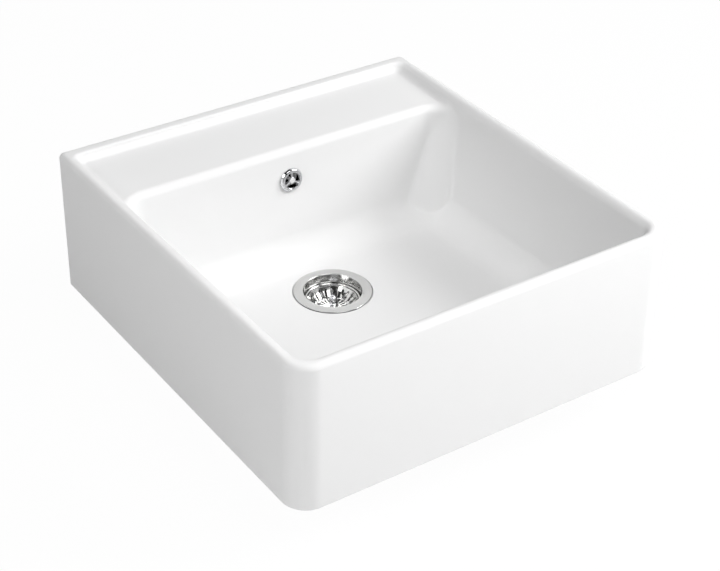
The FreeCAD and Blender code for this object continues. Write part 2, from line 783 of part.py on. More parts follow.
def make_basket_stem():
    """The stem that holds knob, basket and seal together and guides the basket in the screw."""
    body = stand_on_drain(new_body("basket_stem"))
    collar_foot = "(stem_collar_top - stem_collar_height)"
    thread = "(stem_thread_radius - thread_clearance)"
    groove = "(stem_radius - clip_seat)"
    revolve(body, "turning", [
        ("0", "stem_end"),
        (groove, "stem_end"),
        ("stem_radius", "stem_end + clip_seat"),
        ("stem_radius", "clip_end"),
        (groove, "clip_end"),
        (groove, "clip_top"),
        ("stem_radius", "clip_top"),
        ("stem_radius", collar_foot),
        ("stem_collar_radius", collar_foot),
        ("stem_collar_radius", "stem_collar_top"),
        (thread, "stem_collar_top"),
        (thread, "stem_thread_top - running_clearance"),
        ("0", "stem_thread_top - running_clearance"),
    ])
    return body


def make_stem_clip():
    """The split spring sleeve that grips the bore of the screw when the basket is pressed down."""
    body = stand_on_drain(new_body("stem_clip"))
    groove = "(stem_radius - clip_seat)"
    shoulder = "(clip_radius - clip_swell)"
    middle = "((clip_top + clip_end) / 2)"
    revolve(body, "sleeve", [
        (groove, "clip_end"),
        (shoulder, "clip_end"),
        ("clip_radius", f"{middle} - clip_swell"),
        ("clip_radius", f"{middle} + clip_swell"),
        (shoulder, "clip_top"),
        (groove, "clip_top"),
    ])
    slit = new_sketch(body, "slit_plan", "XY_Plane", rise="clip_top")
    draw_chain(slit, [
        ("0", "-clip_slit / 2"),
        ("clip_radius + overrun", "-clip_slit / 2"),
        ("clip_radius + overrun", "clip_slit / 2"),
        ("0", "clip_slit / 2"),
    ])
    grow(body, "Pocket", "slit", slit, {"Length": "clip_top - clip_end"})
    return body


def make_basket_seal():
    """The rubber seal under the basket: a disc with a skirt that ends in a thick lip on the seat."""
    body = stand_on_drain(new_body("basket_seal"))
    lip_foot = "(cup_floor + seal_gap)"
    revolve(body, "moulding", [
        ("stem_thread_radius", "basket_underside - seal_centre_thickness"),
        ("retainer_radius + seal_flat_margin", "basket_underside - seal_centre_thickness"),
        ("seal_lip_radius - seal_lip_width", lip_foot),
        ("seal_lip_radius", lip_foot),
        ("seal_lip_radius", f"{lip_foot} + seal_lip_height"),
        ("basket_floor_radius - seal_lip_height", "basket_underside"),
        ("stem_thread_radius", "basket_underside"),
    ])
    return body


def make_overflow_rosette():
    """The chromed rosette: a domed ring, a sunk grille with kidney openings and a centre boss."""
    body = stand_on_overflow(new_body("overflow_rosette"))
    grille_top = "(rosette_front - rosette_grille_depth)"
    grille_foot = f"({grille_top} - rosette_grille_thickness)"
    skirt = "(overflow_hole_radius - running_clearance)"
    revolve(body, "casting", [
        ("rosette_opening_radius", "-rosette_skirt_length"),
        (skirt, "-rosette_skirt_length"),
        (skirt, "overflow_seal_thickness"),
        ("rosette_radius", "overflow_seal_thickness"),
        ("rosette_radius", "overflow_seal_thickness + rosette_edge", "rosette_dome"),
        ("rosette_ring_radius", "rosette_front"),
        ("rosette_opening_radius + rosette_edge", "rosette_front", "rosette_edge"),
        ("rosette_opening_radius", "rosette_front - rosette_edge"),
        ("rosette_opening_radius", grille_top),
        ("rosette_boss_radius", grille_top),
        ("rosette_boss_radius", "rosette_boss_top"),
        ("overflow_screw_head", "rosette_boss_top"),
        ("overflow_screw_radius + running_clearance", "rosette_boss_top - overflow_screw_sink"),
        ("overflow_screw_radius + running_clearance", grille_foot),
        ("rosette_opening_radius", grille_foot),
    ])
    opening = new_sketch(body, "kidney_opening", "XY_Plane", rise=grille_top,
                         turn="90 - 180 / rosette_openings")
    draw_sector(opening, "rosette_boss_radius + rosette_edge", "rosette_opening_radius - rosette_edge",
                "rosette_openings", "rosette_spoke")
    cut = grow(body, "Pocket", "kidney", opening, {"Length": "2 * rosette_grille_thickness"})
    repeat_round(body, "kidneys", [cut], "rosette_openings")
    return body


def make_overflow_screw():
    """The countersunk screw through the rosette into the elbow's insert."""
    body = stand_on_overflow(new_body("overflow_screw"))
    revolve(body, "turning", [
        ("0", "rosette_boss_top - overflow_screw_length"),
        ("overflow_screw_radius", "rosette_boss_top - overflow_screw_length"),
        ("overflow_screw_radius", "rosette_boss_top - overflow_screw_sink"),
        ("overflow_screw_head", "rosette_boss_top"),
        ("overflow_screw_face", "rosette_boss_top + overflow_screw_crown"),
        ("0", "rosette_boss_top + overflow_screw_crown"),
    ])
    slot = new_sketch(body, "driver_slot", "XY_Plane", rise="rosette_boss_top + overflow_screw_crown")
    draw_rectangle(slot, "overflow_screw_head + overrun", "overflow_screw_slot / 2")
    grow(body, "Pocket", "slot", slot, {"Length": "overflow_screw_crown + overflow_screw_slot"})
    return body


def make_overflow_elbow():
    """The moulded elbow behind the wall: flange, closed chamber, spigot down and the insert's hub."""
    body = stand_on_overflow(new_body("overflow_elbow"))
    end = "(elbow_seat + elbow_depth)"
    revolve(body, "outside", [
        ("0", f"-{end}"),
        ("elbow_bore", f"-{end}", "elbow_wall"),
        ("elbow_radius", f"elbow_wall - {end}"),
        ("elbow_radius", "-elbow_seat - elbow_flange_thickness"),
        ("rear_seal_radius", "-elbow_seat - elbow_flange_thickness"),
        ("rear_seal_radius", "-elbow_seat"),
        ("0", "-elbow_seat"),
    ])
    spigot = new_sketch(body, "spigot_circle", "XZ_Plane")
    draw_circle(spigot, "0", "-spigot_axis", "spigot_radius")
    grow(body, "Pad", "spigot", spigot, {"Length": "elbow_spigot_end"})
    revolve(body, "inside", [
        ("0", f"elbow_wall - {end}"),
        ("elbow_bore", f"elbow_wall - {end}"),
        ("elbow_bore", "-elbow_seat"),
        ("0", "-elbow_seat"),
    ], "Groove")
    bore = new_sketch(body, "spigot_bore_circle", "XZ_Plane")
    draw_circle(bore, "0", "-spigot_axis", "spigot_bore")
    grow(body, "Pocket", "spigot_bore_cut", bore, {"Length": "elbow_spigot_end"}, Reversed=True)

    hub_front = "(elbow_seat + elbow_hub_start)"
    hub_back = f"({hub_front} + elbow_hub_length)"
    spoke = new_sketch(body, "spoke_side", "YZ_Plane")
    draw_chain(spoke, [
        ("elbow_hub_radius - rib_root", f"-{hub_back}"),
        ("elbow_bore + elbow_wall / 3", f"-{hub_back}"),
        ("elbow_bore + elbow_wall / 3", f"-{hub_front}"),
        ("elbow_hub_radius - rib_root", f"-{hub_front}"),
    ])
    first_spoke = grow(body, "Pad", "spoke", spoke, {"Length": "elbow_spoke_thickness"}, Midplane=True)
    repeat_round(body, "spokes", [first_spoke], "elbow_spokes")
    revolve(body, "hub", [
        ("overflow_insert_radius", f"-{hub_back}"),
        ("elbow_hub_radius", f"-{hub_back}"),
        ("elbow_hub_radius", f"-{hub_front}"),
        ("overflow_screw_radius + running_clearance", f"-{hub_front}"),
        ("overflow_screw_radius + running_clearance", f"overflow_insert_length - {hub_back}"),
        ("overflow_insert_radius", f"overflow_insert_length - {hub_back}"),
    ])
    return body


def make_overflow_pipe():
    """The rigid pipe: down through the chamber beside its front wall, then forward to the waste."""
    body = new_body("overflow_pipe")
    start = "(drain_y + inlet_end - pipe_insertion)"
    reach = "(elbow_spigot_end - pipe_insertion)"
    top_y = f"(overflow_y + spigot_axis * cos(wall_draft) - {reach} * sin(wall_draft))"
    top_z = f"(overflow_height - spigot_axis * sin(wall_draft) - {reach} * cos(wall_draft))"
    corner = f"({top_y} - ({top_z} - inlet_height) * tan(wall_draft))"
    tangent = "(pipe_bend * tan(45 - wall_draft / 2))"
    section = new_sketch(body, "pipe_section", "XZ_Plane", rise=f"-{start}")
    draw_circle(section, "0", "inlet_height", "pipe_radius")
    draw_circle(section, "0", "inlet_height", "pipe_radius - pipe_wall")
    route = new_sketch(body, "pipe_route", "YZ_Plane")
    draw_chain(route, [
        (start, "inlet_height"),
        (f"{corner} - {tangent}", "inlet_height", "pipe_bend"),
        (f"{corner} + {tangent} * sin(wall_draft)", f"inlet_height + {tangent} * cos(wall_draft)"),
        (top_y, top_z),
    ], closed=False)
    pipe = body.newObject("PartDesign::AdditivePipe", "pipe")
    pipe.Profile = section
    pipe.Spine = (route, ["Edge1", "Edge2", "Edge3"])
    document.recompute()
    return body


def make_union(end, tilt, base_y, base_z):
    """A fluted union nut and the seal that it presses between the pipe and a spigot's end."""
    nut = new_body("pipe_nut_" + end)
    seal_end = "(nut_shoulder + pipe_seal_thickness)"
    revolve(nut, "moulding", [
        ("spigot_bore", "0"),
        ("nut_radius - nut_edge", "0"),
        ("nut_radius", "nut_edge"),
        ("nut_radius", "nut_length - nut_edge"),
        ("nut_radius - nut_edge", "nut_length"),
        ("spigot_radius + thread_clearance", "nut_length"),
        ("spigot_radius + thread_clearance", "nut_shoulder"),
        ("spigot_bore", "nut_shoulder"),
    ])
    flute = new_sketch(nut, "flute_circle", "XY_Plane", rise="nut_length")
    draw_circle(flute, "nut_radius + nut_flute_radius / 2", "0", "nut_flute_radius")
    cut = grow(nut, "Pocket", "flute", flute, {"Length": "nut_length"})
    repeat_round(nut, "flutes", [cut], "nut_flutes")
    seal = make_ring("pipe_seal_" + end, "pipe_radius", "spigot_radius - running_clearance",
                     "nut_shoulder", seal_end)
    for body in (nut, seal):
        tilt_about_x(body, tilt, base_y, base_z)
    return [nut, seal]


def make_pieces():
    seal_reach = "(nut_shoulder + pipe_seal_thickness)"
    nut_reach = f"(elbow_spigot_end + {seal_reach})"
    pieces = [
        make_sink_body(),
        make_waste_flange(),
        stand_on_drain(make_ring("flange_seal", "drain_hole_radius", "flange_radius - seal_inset",
                                 "seat_top", "flange_seal_top")),
        stand_on_drain(make_ring("underside_seal", "drain_hole_radius", "body_rim_radius - seal_inset",
                                 "underside_seal_foot", "foot_recess_depth")),
        make_waste_body(),
        make_clamp_screw(),
        stand_on_drain(make_insert("clamp_insert", "clamp_radius + thread_clearance", "insert_radius",
                                   "insert_end", "insert_top")),
        make_basket(),
        make_basket_knob(),
        make_basket_stem(),
        make_stem_clip(),
        make_basket_seal(),
        stand_on_drain(make_ring("seal_retainer", "stem_thread_radius", "retainer_radius",
                                 "stem_collar_top", "stem_collar_top + retainer_thickness")),
        make_overflow_rosette(),
        make_overflow_screw(),
        stand_on_overflow(make_ring("overflow_front_seal", "overflow_hole_radius",
                                    "rosette_radius - seal_inset", "0", "overflow_seal_thickness")),
        stand_on_overflow(make_ring("overflow_rear_seal", "overflow_hole_radius + seal_inset",
                                    "rear_seal_radius", "-elbow_seat", "-overflow_wall")),
        make_overflow_elbow(),
        stand_on_overflow(make_insert(
            "overflow_insert", "overflow_screw_radius + thread_clearance", "overflow_insert_radius",
            "-(elbow_seat + elbow_hub_start + elbow_hub_length)",
            "(overflow_insert_length - elbow_seat - elbow_hub_start - elbow_hub_length)")),
        make_overflow_pipe(),
        *make_union("top", "-wall_draft",
                    f"overflow_y + spigot_axis * cos(wall_draft) - {nut_reach} * sin(wall_draft)",
                    f"overflow_height - spigot_axis * sin(wall_draft) - {nut_reach} * cos(wall_draft)"),
        *make_union("bottom", "90", f"drain_y + inlet_end + {seal_reach}", "inlet_height"),
    ]
    document.recompute()
    return pieces


def check_pieces(pieces):
    """Stop before anything is written if a feature has failed or a piece isn't one sound solid."""
    for item in document.Objects:
        if "Invalid" in item.State or "Error" in item.State:
            raise RuntimeError(f"{item.Name} could not be computed")
    for piece in pieces:
        if piece.Shape.isNull() or not piece.Shape.isValid() or len(piece.Shape.Solids) != 1:
            raise RuntimeError(f"{piece.Label} is not one valid solid")


def write_pieces(pieces):
    os.makedirs("parts", exist_ok=True)
    for piece in pieces:
        piece.Shape.exportStep(f"parts/{piece.Label}.step")
        print(f"{piece.Label}: {piece.Shape.Volume / CUBIC_CENTIMETRE:.2f} cm3")


all_pieces = make_pieces()
check_pieces(all_pieces)
write_pieces(all_pieces)
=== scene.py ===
import math

import bpy
import numpy as np
from mathutils import Matrix, Vector


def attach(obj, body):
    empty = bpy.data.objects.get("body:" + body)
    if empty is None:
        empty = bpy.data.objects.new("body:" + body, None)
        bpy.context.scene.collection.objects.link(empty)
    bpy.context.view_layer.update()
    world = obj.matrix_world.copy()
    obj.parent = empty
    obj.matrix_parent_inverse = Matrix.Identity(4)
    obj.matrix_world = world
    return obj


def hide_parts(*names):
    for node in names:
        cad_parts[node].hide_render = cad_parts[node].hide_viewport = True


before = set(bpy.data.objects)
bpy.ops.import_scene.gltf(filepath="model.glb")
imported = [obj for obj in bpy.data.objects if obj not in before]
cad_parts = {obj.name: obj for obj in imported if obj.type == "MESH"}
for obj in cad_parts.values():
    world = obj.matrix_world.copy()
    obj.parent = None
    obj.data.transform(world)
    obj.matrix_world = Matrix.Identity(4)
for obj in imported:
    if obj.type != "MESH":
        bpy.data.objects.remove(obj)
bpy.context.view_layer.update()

# ----------------------------------------------------------------------------------------------
# The fireclay body. Slip-cast in a plaster mould, dried, sprayed with white glaze and fired once:
# an apron front, a drafted bowl, and a tap ledge behind it that runs up into the rim on three
# sides. Its surface is worked out in millimetres from the faces of the mould and their roundings.
# ----------------------------------------------------------------------------------------------
MM = 0.001
HALF_WIDTH, HALF_DEPTH, RIM_HEIGHT = 297.5, 315.0, 220.0
FRONT_CORNER, REAR_CORNER, OUTER_RIM, FOOT_EDGE = 36.0, 8.5, 8.0, 2.0
WALL, BOWL_BACK, DRAFT = 20.0, 172.0, math.radians(3)
BOWL_FRONT_CORNER, BOWL_REAR_CORNER, FLOOR_ROUND, NOSE_ROUND = 24.0, 42.0, 44.0, 11.0
FLOOR_HEIGHT, FLOOR_FALL, DRAIN_Y, REBATE = 23.0, math.radians(0.5), 56.0, 58.5
LEDGE_HEIGHT, LEDGE_RISE, LEDGE_BACK, LEDGE_CORNER = 204.6, math.radians(1.25), 294.0, 12.0
LEDGE_FADES_AT, SIDE_LEAN, SIDE_TURN_HEIGHT = 126.0, math.radians(25), 213.0
SIDE_STEPS_OUT, REAR_STEPS_OUT, SIDE_COVE, REAR_COVE = 1.1, 0.9, 6.9, 9.0
BOWL_RIM_ROUND, SIDE_RIM_ROUND, REAR_RIM_ROUND = 11.6, 6.9, 3.5


def fade(value, start, end):
    """0 before start, 1 past end, and smooth between."""
    t = np.clip((value - start) / (end - start), 0, 1)
    return t * t * (3 - 2 * t)


def inside_outline(x, y, half, front, back, front_corner, back_corner):
    """How far a point lies inside a rounded rectangle, and how much its nearest wall faces the back."""
    middle, reach = (front + back) / 2, (back - front) / 2
    corner = np.where(y > middle, back_corner, front_corner)
    across, along = np.abs(x) - half + corner, np.abs(y - middle) - reach + corner
    beyond = np.hypot(np.maximum(across, 0), np.maximum(along, 0))
    gap = corner - beyond - np.minimum(np.maximum(across, along), 0)
    in_corner = (across > 0) & (along > 0)
    turn = np.where(in_corner, np.arctan2(along, across) / (math.pi / 2), (along > across) * 1.0)
    return gap, np.where(y > middle, turn, 0.0)


def round_inside(a, b, radius):
    """Where two faces of a hollow meet, the glaze fills the corner to a radius."""
    return radius - np.hypot(np.maximum(radius - a, 0), np.maximum(radius - b, 0))


def round_outside(a, b, radius):
    """Where two hollows meet in an edge of clay, the edge is sponged off to a radius."""
    return np.hypot(np.maximum(radius + a, 0), np.maximum(radius + b, 0)) - radius


def air(x, y, z):
    """Above 0 in the open space in and over the sink, below 0 in the clay, 0 on the glaze."""
    inset = (RIM_HEIGHT - z) * math.tan(DRAFT)
    gap, _ = inside_outline(x, y, HALF_WIDTH - WALL, WALL - HALF_DEPTH, BOWL_BACK,
                            BOWL_FRONT_CORNER, BOWL_REAR_CORNER)
    above_floor = (z - FLOOR_HEIGHT + (y - DRAIN_Y) * math.tan(FLOOR_FALL)) * math.cos(FLOOR_FALL)
    bowl = round_inside((gap - inset) * math.cos(DRAFT), above_floor, FLOOR_ROUND)
    above_ledge = (z - LEDGE_HEIGHT - (y - BOWL_BACK) * math.tan(LEDGE_RISE)) * math.cos(LEDGE_RISE)
    hollow = round_outside(bowl, above_ledge, NOSE_ROUND)

    # The upstand: steep round the bowl and at the back, a lying S down to the ledge at its sides.
    gap, turn = inside_outline(x, y, HALF_WIDTH - WALL, WALL - HALF_DEPTH, LEDGE_BACK,
                               BOWL_FRONT_CORNER, LEDGE_CORNER)
    at_ledge, to_back = fade(y, LEDGE_FADES_AT, BOWL_BACK), fade(turn, 0, 1)
    steep = (gap - inset) * math.cos(DRAFT)
    lean = (gap + SIDE_STEPS_OUT - (SIDE_TURN_HEIGHT - z) * math.tan(SIDE_LEAN)) * math.cos(SIDE_LEAN)
    rear = (gap + REAR_STEPS_OUT - inset) * math.cos(DRAFT)
    side = steep + (lean - steep) * at_ledge
    upstand = side + (rear - side) * to_back
    cove = at_ledge * (SIDE_COVE + (REAR_COVE - SIDE_COVE) * to_back) + 1e-6
    hollow = round_inside(hollow, upstand, cove)
    rim = BOWL_RIM_ROUND + (SIDE_RIM_ROUND - BOWL_RIM_ROUND) * at_ledge
    return round_outside(hollow, z - RIM_HEIGHT, rim + (REAR_RIM_ROUND - rim) * to_back)


def ray_reach(direction, inset, farthest=600.0, halvings=44):
    """How far from the middle of the waste a ray meets the outline of the sink, drawn in by inset."""
    low, high = np.zeros(len(direction)), np.full(len(direction), farthest)
    for _ in range(halvings):
        middle = (low + high) / 2
        x, y = direction[:, 0] * middle, DRAIN_Y + direction[:, 1] * middle
        gap, _ = inside_outline(x, y, HALF_WIDTH, -HALF_DEPTH, HALF_DEPTH, FRONT_CORNER, REAR_CORNER)
        low, high = np.where(gap > inset, middle, low), np.where(gap > inset, high, middle)
    return low


def column_directions(plain=8.0, close=3.2, closest=1.6):
    """Directions from the waste to the rim, a plain step apart along it, and closer where it turns."""
    half_w, half_d = HALF_WIDTH, HALF_DEPTH
    corners = [(half_w, -half_d), (half_w, half_d), (-half_w, half_d), (-half_w, -half_d)]
    spots = []
    for (x0, y0), (x1, y1) in zip(corners, corners[1:] + corners[:1]):
        length = math.hypot(x1 - x0, y1 - y0)
        along = 0.0
        while along < length:
            x, y = x0 + (x1 - x0) * along / length, y0 + (y1 - y0) * along / length
            spots.append((x, y - DRAIN_Y))
            near_rear_corner = math.hypot(abs(x) - half_w, y - half_d) < 24
            near_front_corner = math.hypot(abs(x) - half_w, y + half_d) < 60
            near_ledge_end = abs(x) > half_w - 1 and 110 < y < 215
            along += closest if near_rear_corner else close if near_front_corner or near_ledge_end else plain
    spots = np.array(spots)
    return spots / np.hypot(spots[:, 0], spots[:, 1])[:, None]


def height_at(x, y, halvings=32):
    """The height of the glaze over a place in plan, by halving."""
    low, high = np.zeros_like(x), np.full_like(x, RIM_HEIGHT + 1)
    for _ in range(halvings):
        middle = (low + high) / 2
        open_here = air(x, y, middle) > 0
        low, high = np.where(open_here, low, middle), np.where(open_here, middle, high)
    return (low + high) / 2


def slope_of_air(points, step=0.01):
    """The direction in which the air lies, square to the glaze."""
    slope = np.empty_like(points)
    for axis in range(3):
        shift = np.zeros(3)
        shift[axis] = step
        after, before = points + shift, points - shift
        slope[:, axis] = air(*after.T) - air(*before.T)
    return slope / (2 * step)


# Along each ray the points gather where the surface bends. The first lie under the flange.
RINGS, SAMPLES, UNDER_FLANGE, PLAIN_STEP, BEND_WEIGHT, EVENED = 150, 1400, 6, 7.0, 22, 9
ways = column_directions()
crest = ray_reach(ways, OUTER_RIM)
share = np.linspace(0, 1, SAMPLES)
reach = REBATE - UNDER_FLANGE + (crest[:, None] - REBATE + UNDER_FLANGE) * share
plan_x, plan_y = ways[:, :1] * reach, DRAIN_Y + ways[:, 1:] * reach
heights = height_at(plan_x, plan_y)
heights[:, -1] = RIM_HEIGHT

section = []
for radii, levels in zip(reach, heights):
    steps = np.hypot(np.diff(radii), np.diff(levels))
    angle = np.arctan2(np.diff(levels), np.diff(radii))
    bend = np.abs(np.diff(angle, prepend=angle[0]))
    bend = np.convolve(bend, np.ones(EVENED) / EVENED, mode="same")
    measure = np.concatenate([[0], np.cumsum(steps / PLAIN_STEP + bend * BEND_WEIGHT)])
    places = np.linspace(0, measure[-1], RINGS)
    section.append(np.column_stack([np.interp(places, measure, radii), np.interp(places, measure, levels)]))
section = np.array(section)
glaze = np.empty(section.shape[:2] + (3,))
glaze[..., 0] = ways[:, :1] * section[..., 0]
glaze[..., 1] = DRAIN_Y + ways[:, 1:] * section[..., 0]
glaze[..., 2] = section[..., 1]
flat = glaze[:, 1:-1].reshape(-1, 3)
for _ in range(4):
    slope = slope_of_air(flat)
    flat -= slope * (air(*flat.T) / np.maximum((slope ** 2).sum(1), 1e-9))[:, None]
glaze[:, 1:-1] = flat.reshape(glaze[:, 1:-1].shape)

# Over the crest, down the outside and under the foot.
rings = [glaze[:, index] for index in range(RINGS)]
outside = [(OUTER_RIM * (1 - math.sin(part)), RIM_HEIGHT - OUTER_RIM * (1 - math.cos(part)))
           for part in np.linspace(0, math.pi / 2, 11)[1:]]
outside += [(FOOT_EDGE * (1 - math.cos(part)), FOOT_EDGE * (1 - math.sin(part)))
            for part in np.linspace(0, math.pi / 2, 5)]
for inset, level in outside:
    radius = ray_reach(ways, inset)
    rings.append(np.column_stack([ways[:, 0] * radius, DRAIN_Y + ways[:, 1] * radius,
                                  np.full(len(ways), level)]))
rings = np.array(rings)
count = len(ways)
vertices = np.vstack([rings.reshape(-1, 3), [[0, DRAIN_Y, FLOOR_HEIGHT], [0, DRAIN_Y, 0]]])
faces = []
for ring in range(len(rings) - 1):
    for column in range(count):
        following = (column + 1) % count
        faces.append((ring * count + column, (ring + 1) * count + column,
                      (ring + 1) * count + following, ring * count + following))
last = (len(rings) - 1) * count
for column in range(count):
    following = (column + 1) % count
    faces.append((column, following, len(vertices) - 2))
    faces.append((last + following, last + column, len(vertices) - 1))


def new_piece(name, points, polygons):
    """A piece from points in millimetres in the sink's frame, and the polygons between them."""
    mesh = bpy.data.meshes.new(name)
    mesh.from_pydata((np.asarray(points, float) * MM).tolist(), [], polygons)
    piece = bpy.data.objects.new(name, mesh)
    bpy.context.collection.objects.link(piece)
    return piece


def settle(piece):
    """Bake what the piece's modifiers make into its own mesh."""
    baked = bpy.data.meshes.new_from_object(piece.evaluated_get(bpy.context.evaluated_depsgraph_get()))
    piece.modifiers.clear()
    piece.data = baked
    return piece


def work(piece, tool, operation="DIFFERENCE"):
    """Cut a piece with a tool, or join them, and put the tool away."""
    step = piece.modifiers.new("work", "BOOLEAN")
    step.object, step.operation, step.solver = tool, operation, "MANIFOLD"
    settle(piece)
    bpy.data.objects.remove(tool)
    return piece


def dome_corners(piece, angle=32):
    """Shade a piece smooth, but keep the edges sharp that turn by more than the angle."""
    piece.data.polygons.foreach_set("use_smooth", [True] * len(piece.data.polygons))
    piece.data.set_sharp_from_angle(angle=math.radians(angle))


def core(name, levels, steps=12):
    """A closed mould core: rounded rectangles (z, left, right, front, back, corner) one over the other."""
    points = []
    for z, left, right, front, back, corner in levels:
        for middle_x, middle_y, first in ((right - corner, front + corner, -90),
                                          (right - corner, back - corner, 0),
                                          (left + corner, back - corner, 90),
                                          (left + corner, front + corner, 180)):
            for step in range(steps + 1):
                angle = math.radians(first + 90 * step / steps)
                points.append((middle_x + corner * math.cos(angle), middle_y + corner * math.sin(angle), z))
    count = 4 * (steps + 1)
    polygons = [tuple(reversed(range(count))), tuple(range(len(points) - count, len(points)))]
    for level in range(len(levels) - 1):
        for index in range(count):
            following = (index + 1) % count
            polygons.append((level * count + index, level * count + following,
                             (level + 1) * count + following, (level + 1) * count + index))
    return new_piece(name, points, polygons)


def eased(corners, steps=6):
    """A closed outline of (radius, height, ease) corners, each corner rounded to its ease."""
    points = []
    for index, corner in enumerate(corners):
        here = Vector(corner[:2])
        ease = corner[2] if len(corner) > 2 else 0
        if not ease:
            points.append(tuple(here))
            continue
        before = (Vector(corners[index - 1][:2]) - here).normalized()
        after = (Vector(corners[(index + 1) % len(corners)][:2]) - here).normalized()
        half = before.angle(after) / 2
        centre = here + (before + after).normalized() * ease / math.sin(half)
        first, last = here + before * ease / math.tan(half), here + after * ease / math.tan(half)
        for step in range(steps + 1):
            spoke = (first - centre).lerp(last - centre, step / steps).normalized() * ease
            points.append(tuple(centre + spoke))
    return points


def turned(name, outline, spot=None, turns=128):
    """A turned piece: a closed outline, up the outside and down the inside, spun about its axis."""
    points, rings, polygons = [], [], []
    for radius, height in outline:
        if radius < 1e-6:
            rings.append([len(points)] * turns)
            points.append((0, 0, height))
            continue
        rings.append(list(range(len(points), len(points) + turns)))
        for turn in range(turns):
            angle = 2 * math.pi * turn / turns
            points.append((radius * math.cos(angle), radius * math.sin(angle), height))
    for index, ring in enumerate(rings):
        following = rings[(index + 1) % len(rings)]
        if ring[0] == ring[1] and following[0] == following[1]:
            continue
        for turn in range(turns):
            after = (turn + 1) % turns
            around = (ring[turn], ring[after], following[after], following[turn])
            polygons.append(tuple(dict.fromkeys(around)))
    piece = new_piece(name, points, polygons)
    if spot is not None:
        piece.data.transform(spot)
    return piece


WASTE = Matrix.Translation((0, DRAIN_Y * MM, 0))
OVERFLOW_HEIGHT, OVERFLOW_Y = 155.0, 168.594
OVERFLOW = (Matrix.Translation((0, OVERFLOW_Y * MM, OVERFLOW_HEIGHT * MM))
            @ Matrix.Rotation(math.pi / 2 - DRAFT, 4, "X"))

sink = new_piece("sink_glaze", vertices, faces)

# The plaster cores that shape the outlet, the chamber under the ledge and the recess in the foot.
CHAMBER_ROOF, ROOF_ROUND, LEAN = 187.0, 5.0, math.tan(DRAFT)
CHAMBER_HALF, CHAMBER_FRONT, CHAMBER_BACK, CHAMBER_CORNER = 267.5, 178.5, 295.0, 20.0
RECESS_HALF, RECESS_FRONT, RECESS_BACK, RECESS_CORNER, RECESS_DEPTH = 252.5, -270.0, 158.5, 30.0, 6.0
levels = [(z, z * LEAN) for z in (-1.0, CHAMBER_ROOF - ROOF_ROUND)]
for part in np.linspace(0, math.pi / 2, 7)[1:]:
    z = CHAMBER_ROOF - ROOF_ROUND * (1 - math.sin(part))
    levels.append((z, z * LEAN + ROOF_ROUND * (1 - math.cos(part))))
work(sink, core("chamber_core", [(z, -CHAMBER_HALF + inset, CHAMBER_HALF - inset, CHAMBER_FRONT + inset,
                                  CHAMBER_BACK - inset, CHAMBER_CORNER) for z, inset in levels]))
work(sink, core("recess_core", [(z, -RECESS_HALF - flare, RECESS_HALF + flare, RECESS_FRONT - flare,
                                 RECESS_BACK + flare, RECESS_CORNER + flare)
                                for z, flare in ((-1, 1.0), (0.0, 0.3), (0.8, 0.0), (RECESS_DEPTH, 0.0))]))
work(sink, turned("rebate_core", [(0, 20.4), (REBATE, 20.4), (REBATE, 22.0), (58.9, 23.0), (60.4, 24.4),
                                  (60.4, 30), (0, 30)], WASTE))
work(sink, turned("outlet_core", [(0, -2), (46, -2), (45, 7.0), (45, 19.6), (46.0, 20.6), (46.0, 26),
                                  (0, 26)], WASTE))
work(sink, turned("overflow_core", [(0, -24), (13.5, -24), (13.5, -0.8), (13.9, 0.2), (14.4, 4), (0, 4)],
                  OVERFLOW, turns=64))

# The glaze is shaded by the slope of the mould's own faces, so that large curves stay even.
dome_corners(sink, 40)
mesh = sink.data
spots = np.empty(len(mesh.vertices) * 3)
mesh.vertices.foreach_get("co", spots)
spots = spots.reshape(-1, 3) / MM
corner_of = np.empty(len(mesh.loops), np.int64)
mesh.loops.foreach_get("vertex_index", corner_of)
facing = np.empty(len(mesh.loops) * 3)
mesh.corner_normals.foreach_get("vector", facing)
facing = facing.reshape(-1, 3)
slope = slope_of_air(spots)
slope /= np.maximum(np.linalg.norm(slope, axis=1), 1e-9)[:, None]
inside_rim = inside_outline(spots[:, 0], spots[:, 1], HALF_WIDTH, -HALF_DEPTH, HALF_DEPTH,
                            FRONT_CORNER, REAR_CORNER)[0] > OUTER_RIM
on_glaze = (np.abs(air(*spots.T)) < 0.02) & inside_rim & (spots[:, 2] > 20)
use = on_glaze[corner_of] & ((facing * slope[corner_of]).sum(1) > 0.8)
facing[use] = slope[corner_of][use]
mesh.normals_split_custom_set(facing.tolist())

# Where the body stood on the kiln shelf and inside the chamber it has no glaze.
glazed = np.ones(len(mesh.polygons))
for polygon in mesh.polygons:
    x, y, z = polygon.center / MM
    in_chamber = abs(x) < CHAMBER_HALF + 0.5 and CHAMBER_FRONT - 0.5 < y < CHAMBER_BACK + 1
    faces_down = polygon.normal.z < -0.6
    glazed[polygon.index] = 0.0 if (faces_down or in_chamber) and z < CHAMBER_ROOF + 1 else 1.0
mesh.attributes.new("glazed", "FLOAT", "FACE").data.foreach_set("value", glazed)


def linear(colour):
    """An sRGB hex colour as the linear values that a shader takes."""
    parts = [int(colour[place:place + 2], 16) / 255 for place in (1, 3, 5)]
    levels = [part / 12.92 if part <= 0.04045 else ((part + 0.055) / 1.055) ** 2.4 for part in parts]
    return tuple(levels) + (1.0,)


def add(tree, kind, links=None, values=None, **settings):
    """Add a node to a tree with its settings, the values of its inputs and what feeds them."""
    node = tree.nodes.new(kind)
    for key, choice in settings.items():
        setattr(node, key, choice)
    for key, number in (values or {}).items():
        node.inputs[key].default_value = number
    for key, source in (links or {}).items():
        tree.links.new(source, node.inputs[key])
    return node


def new_finish(name):
    """An empty material: its tree and its output."""
    finish = bpy.data.materials.new(name)
    finish.use_nodes = True
    finish.node_tree.nodes.clear()
    return finish, finish.node_tree


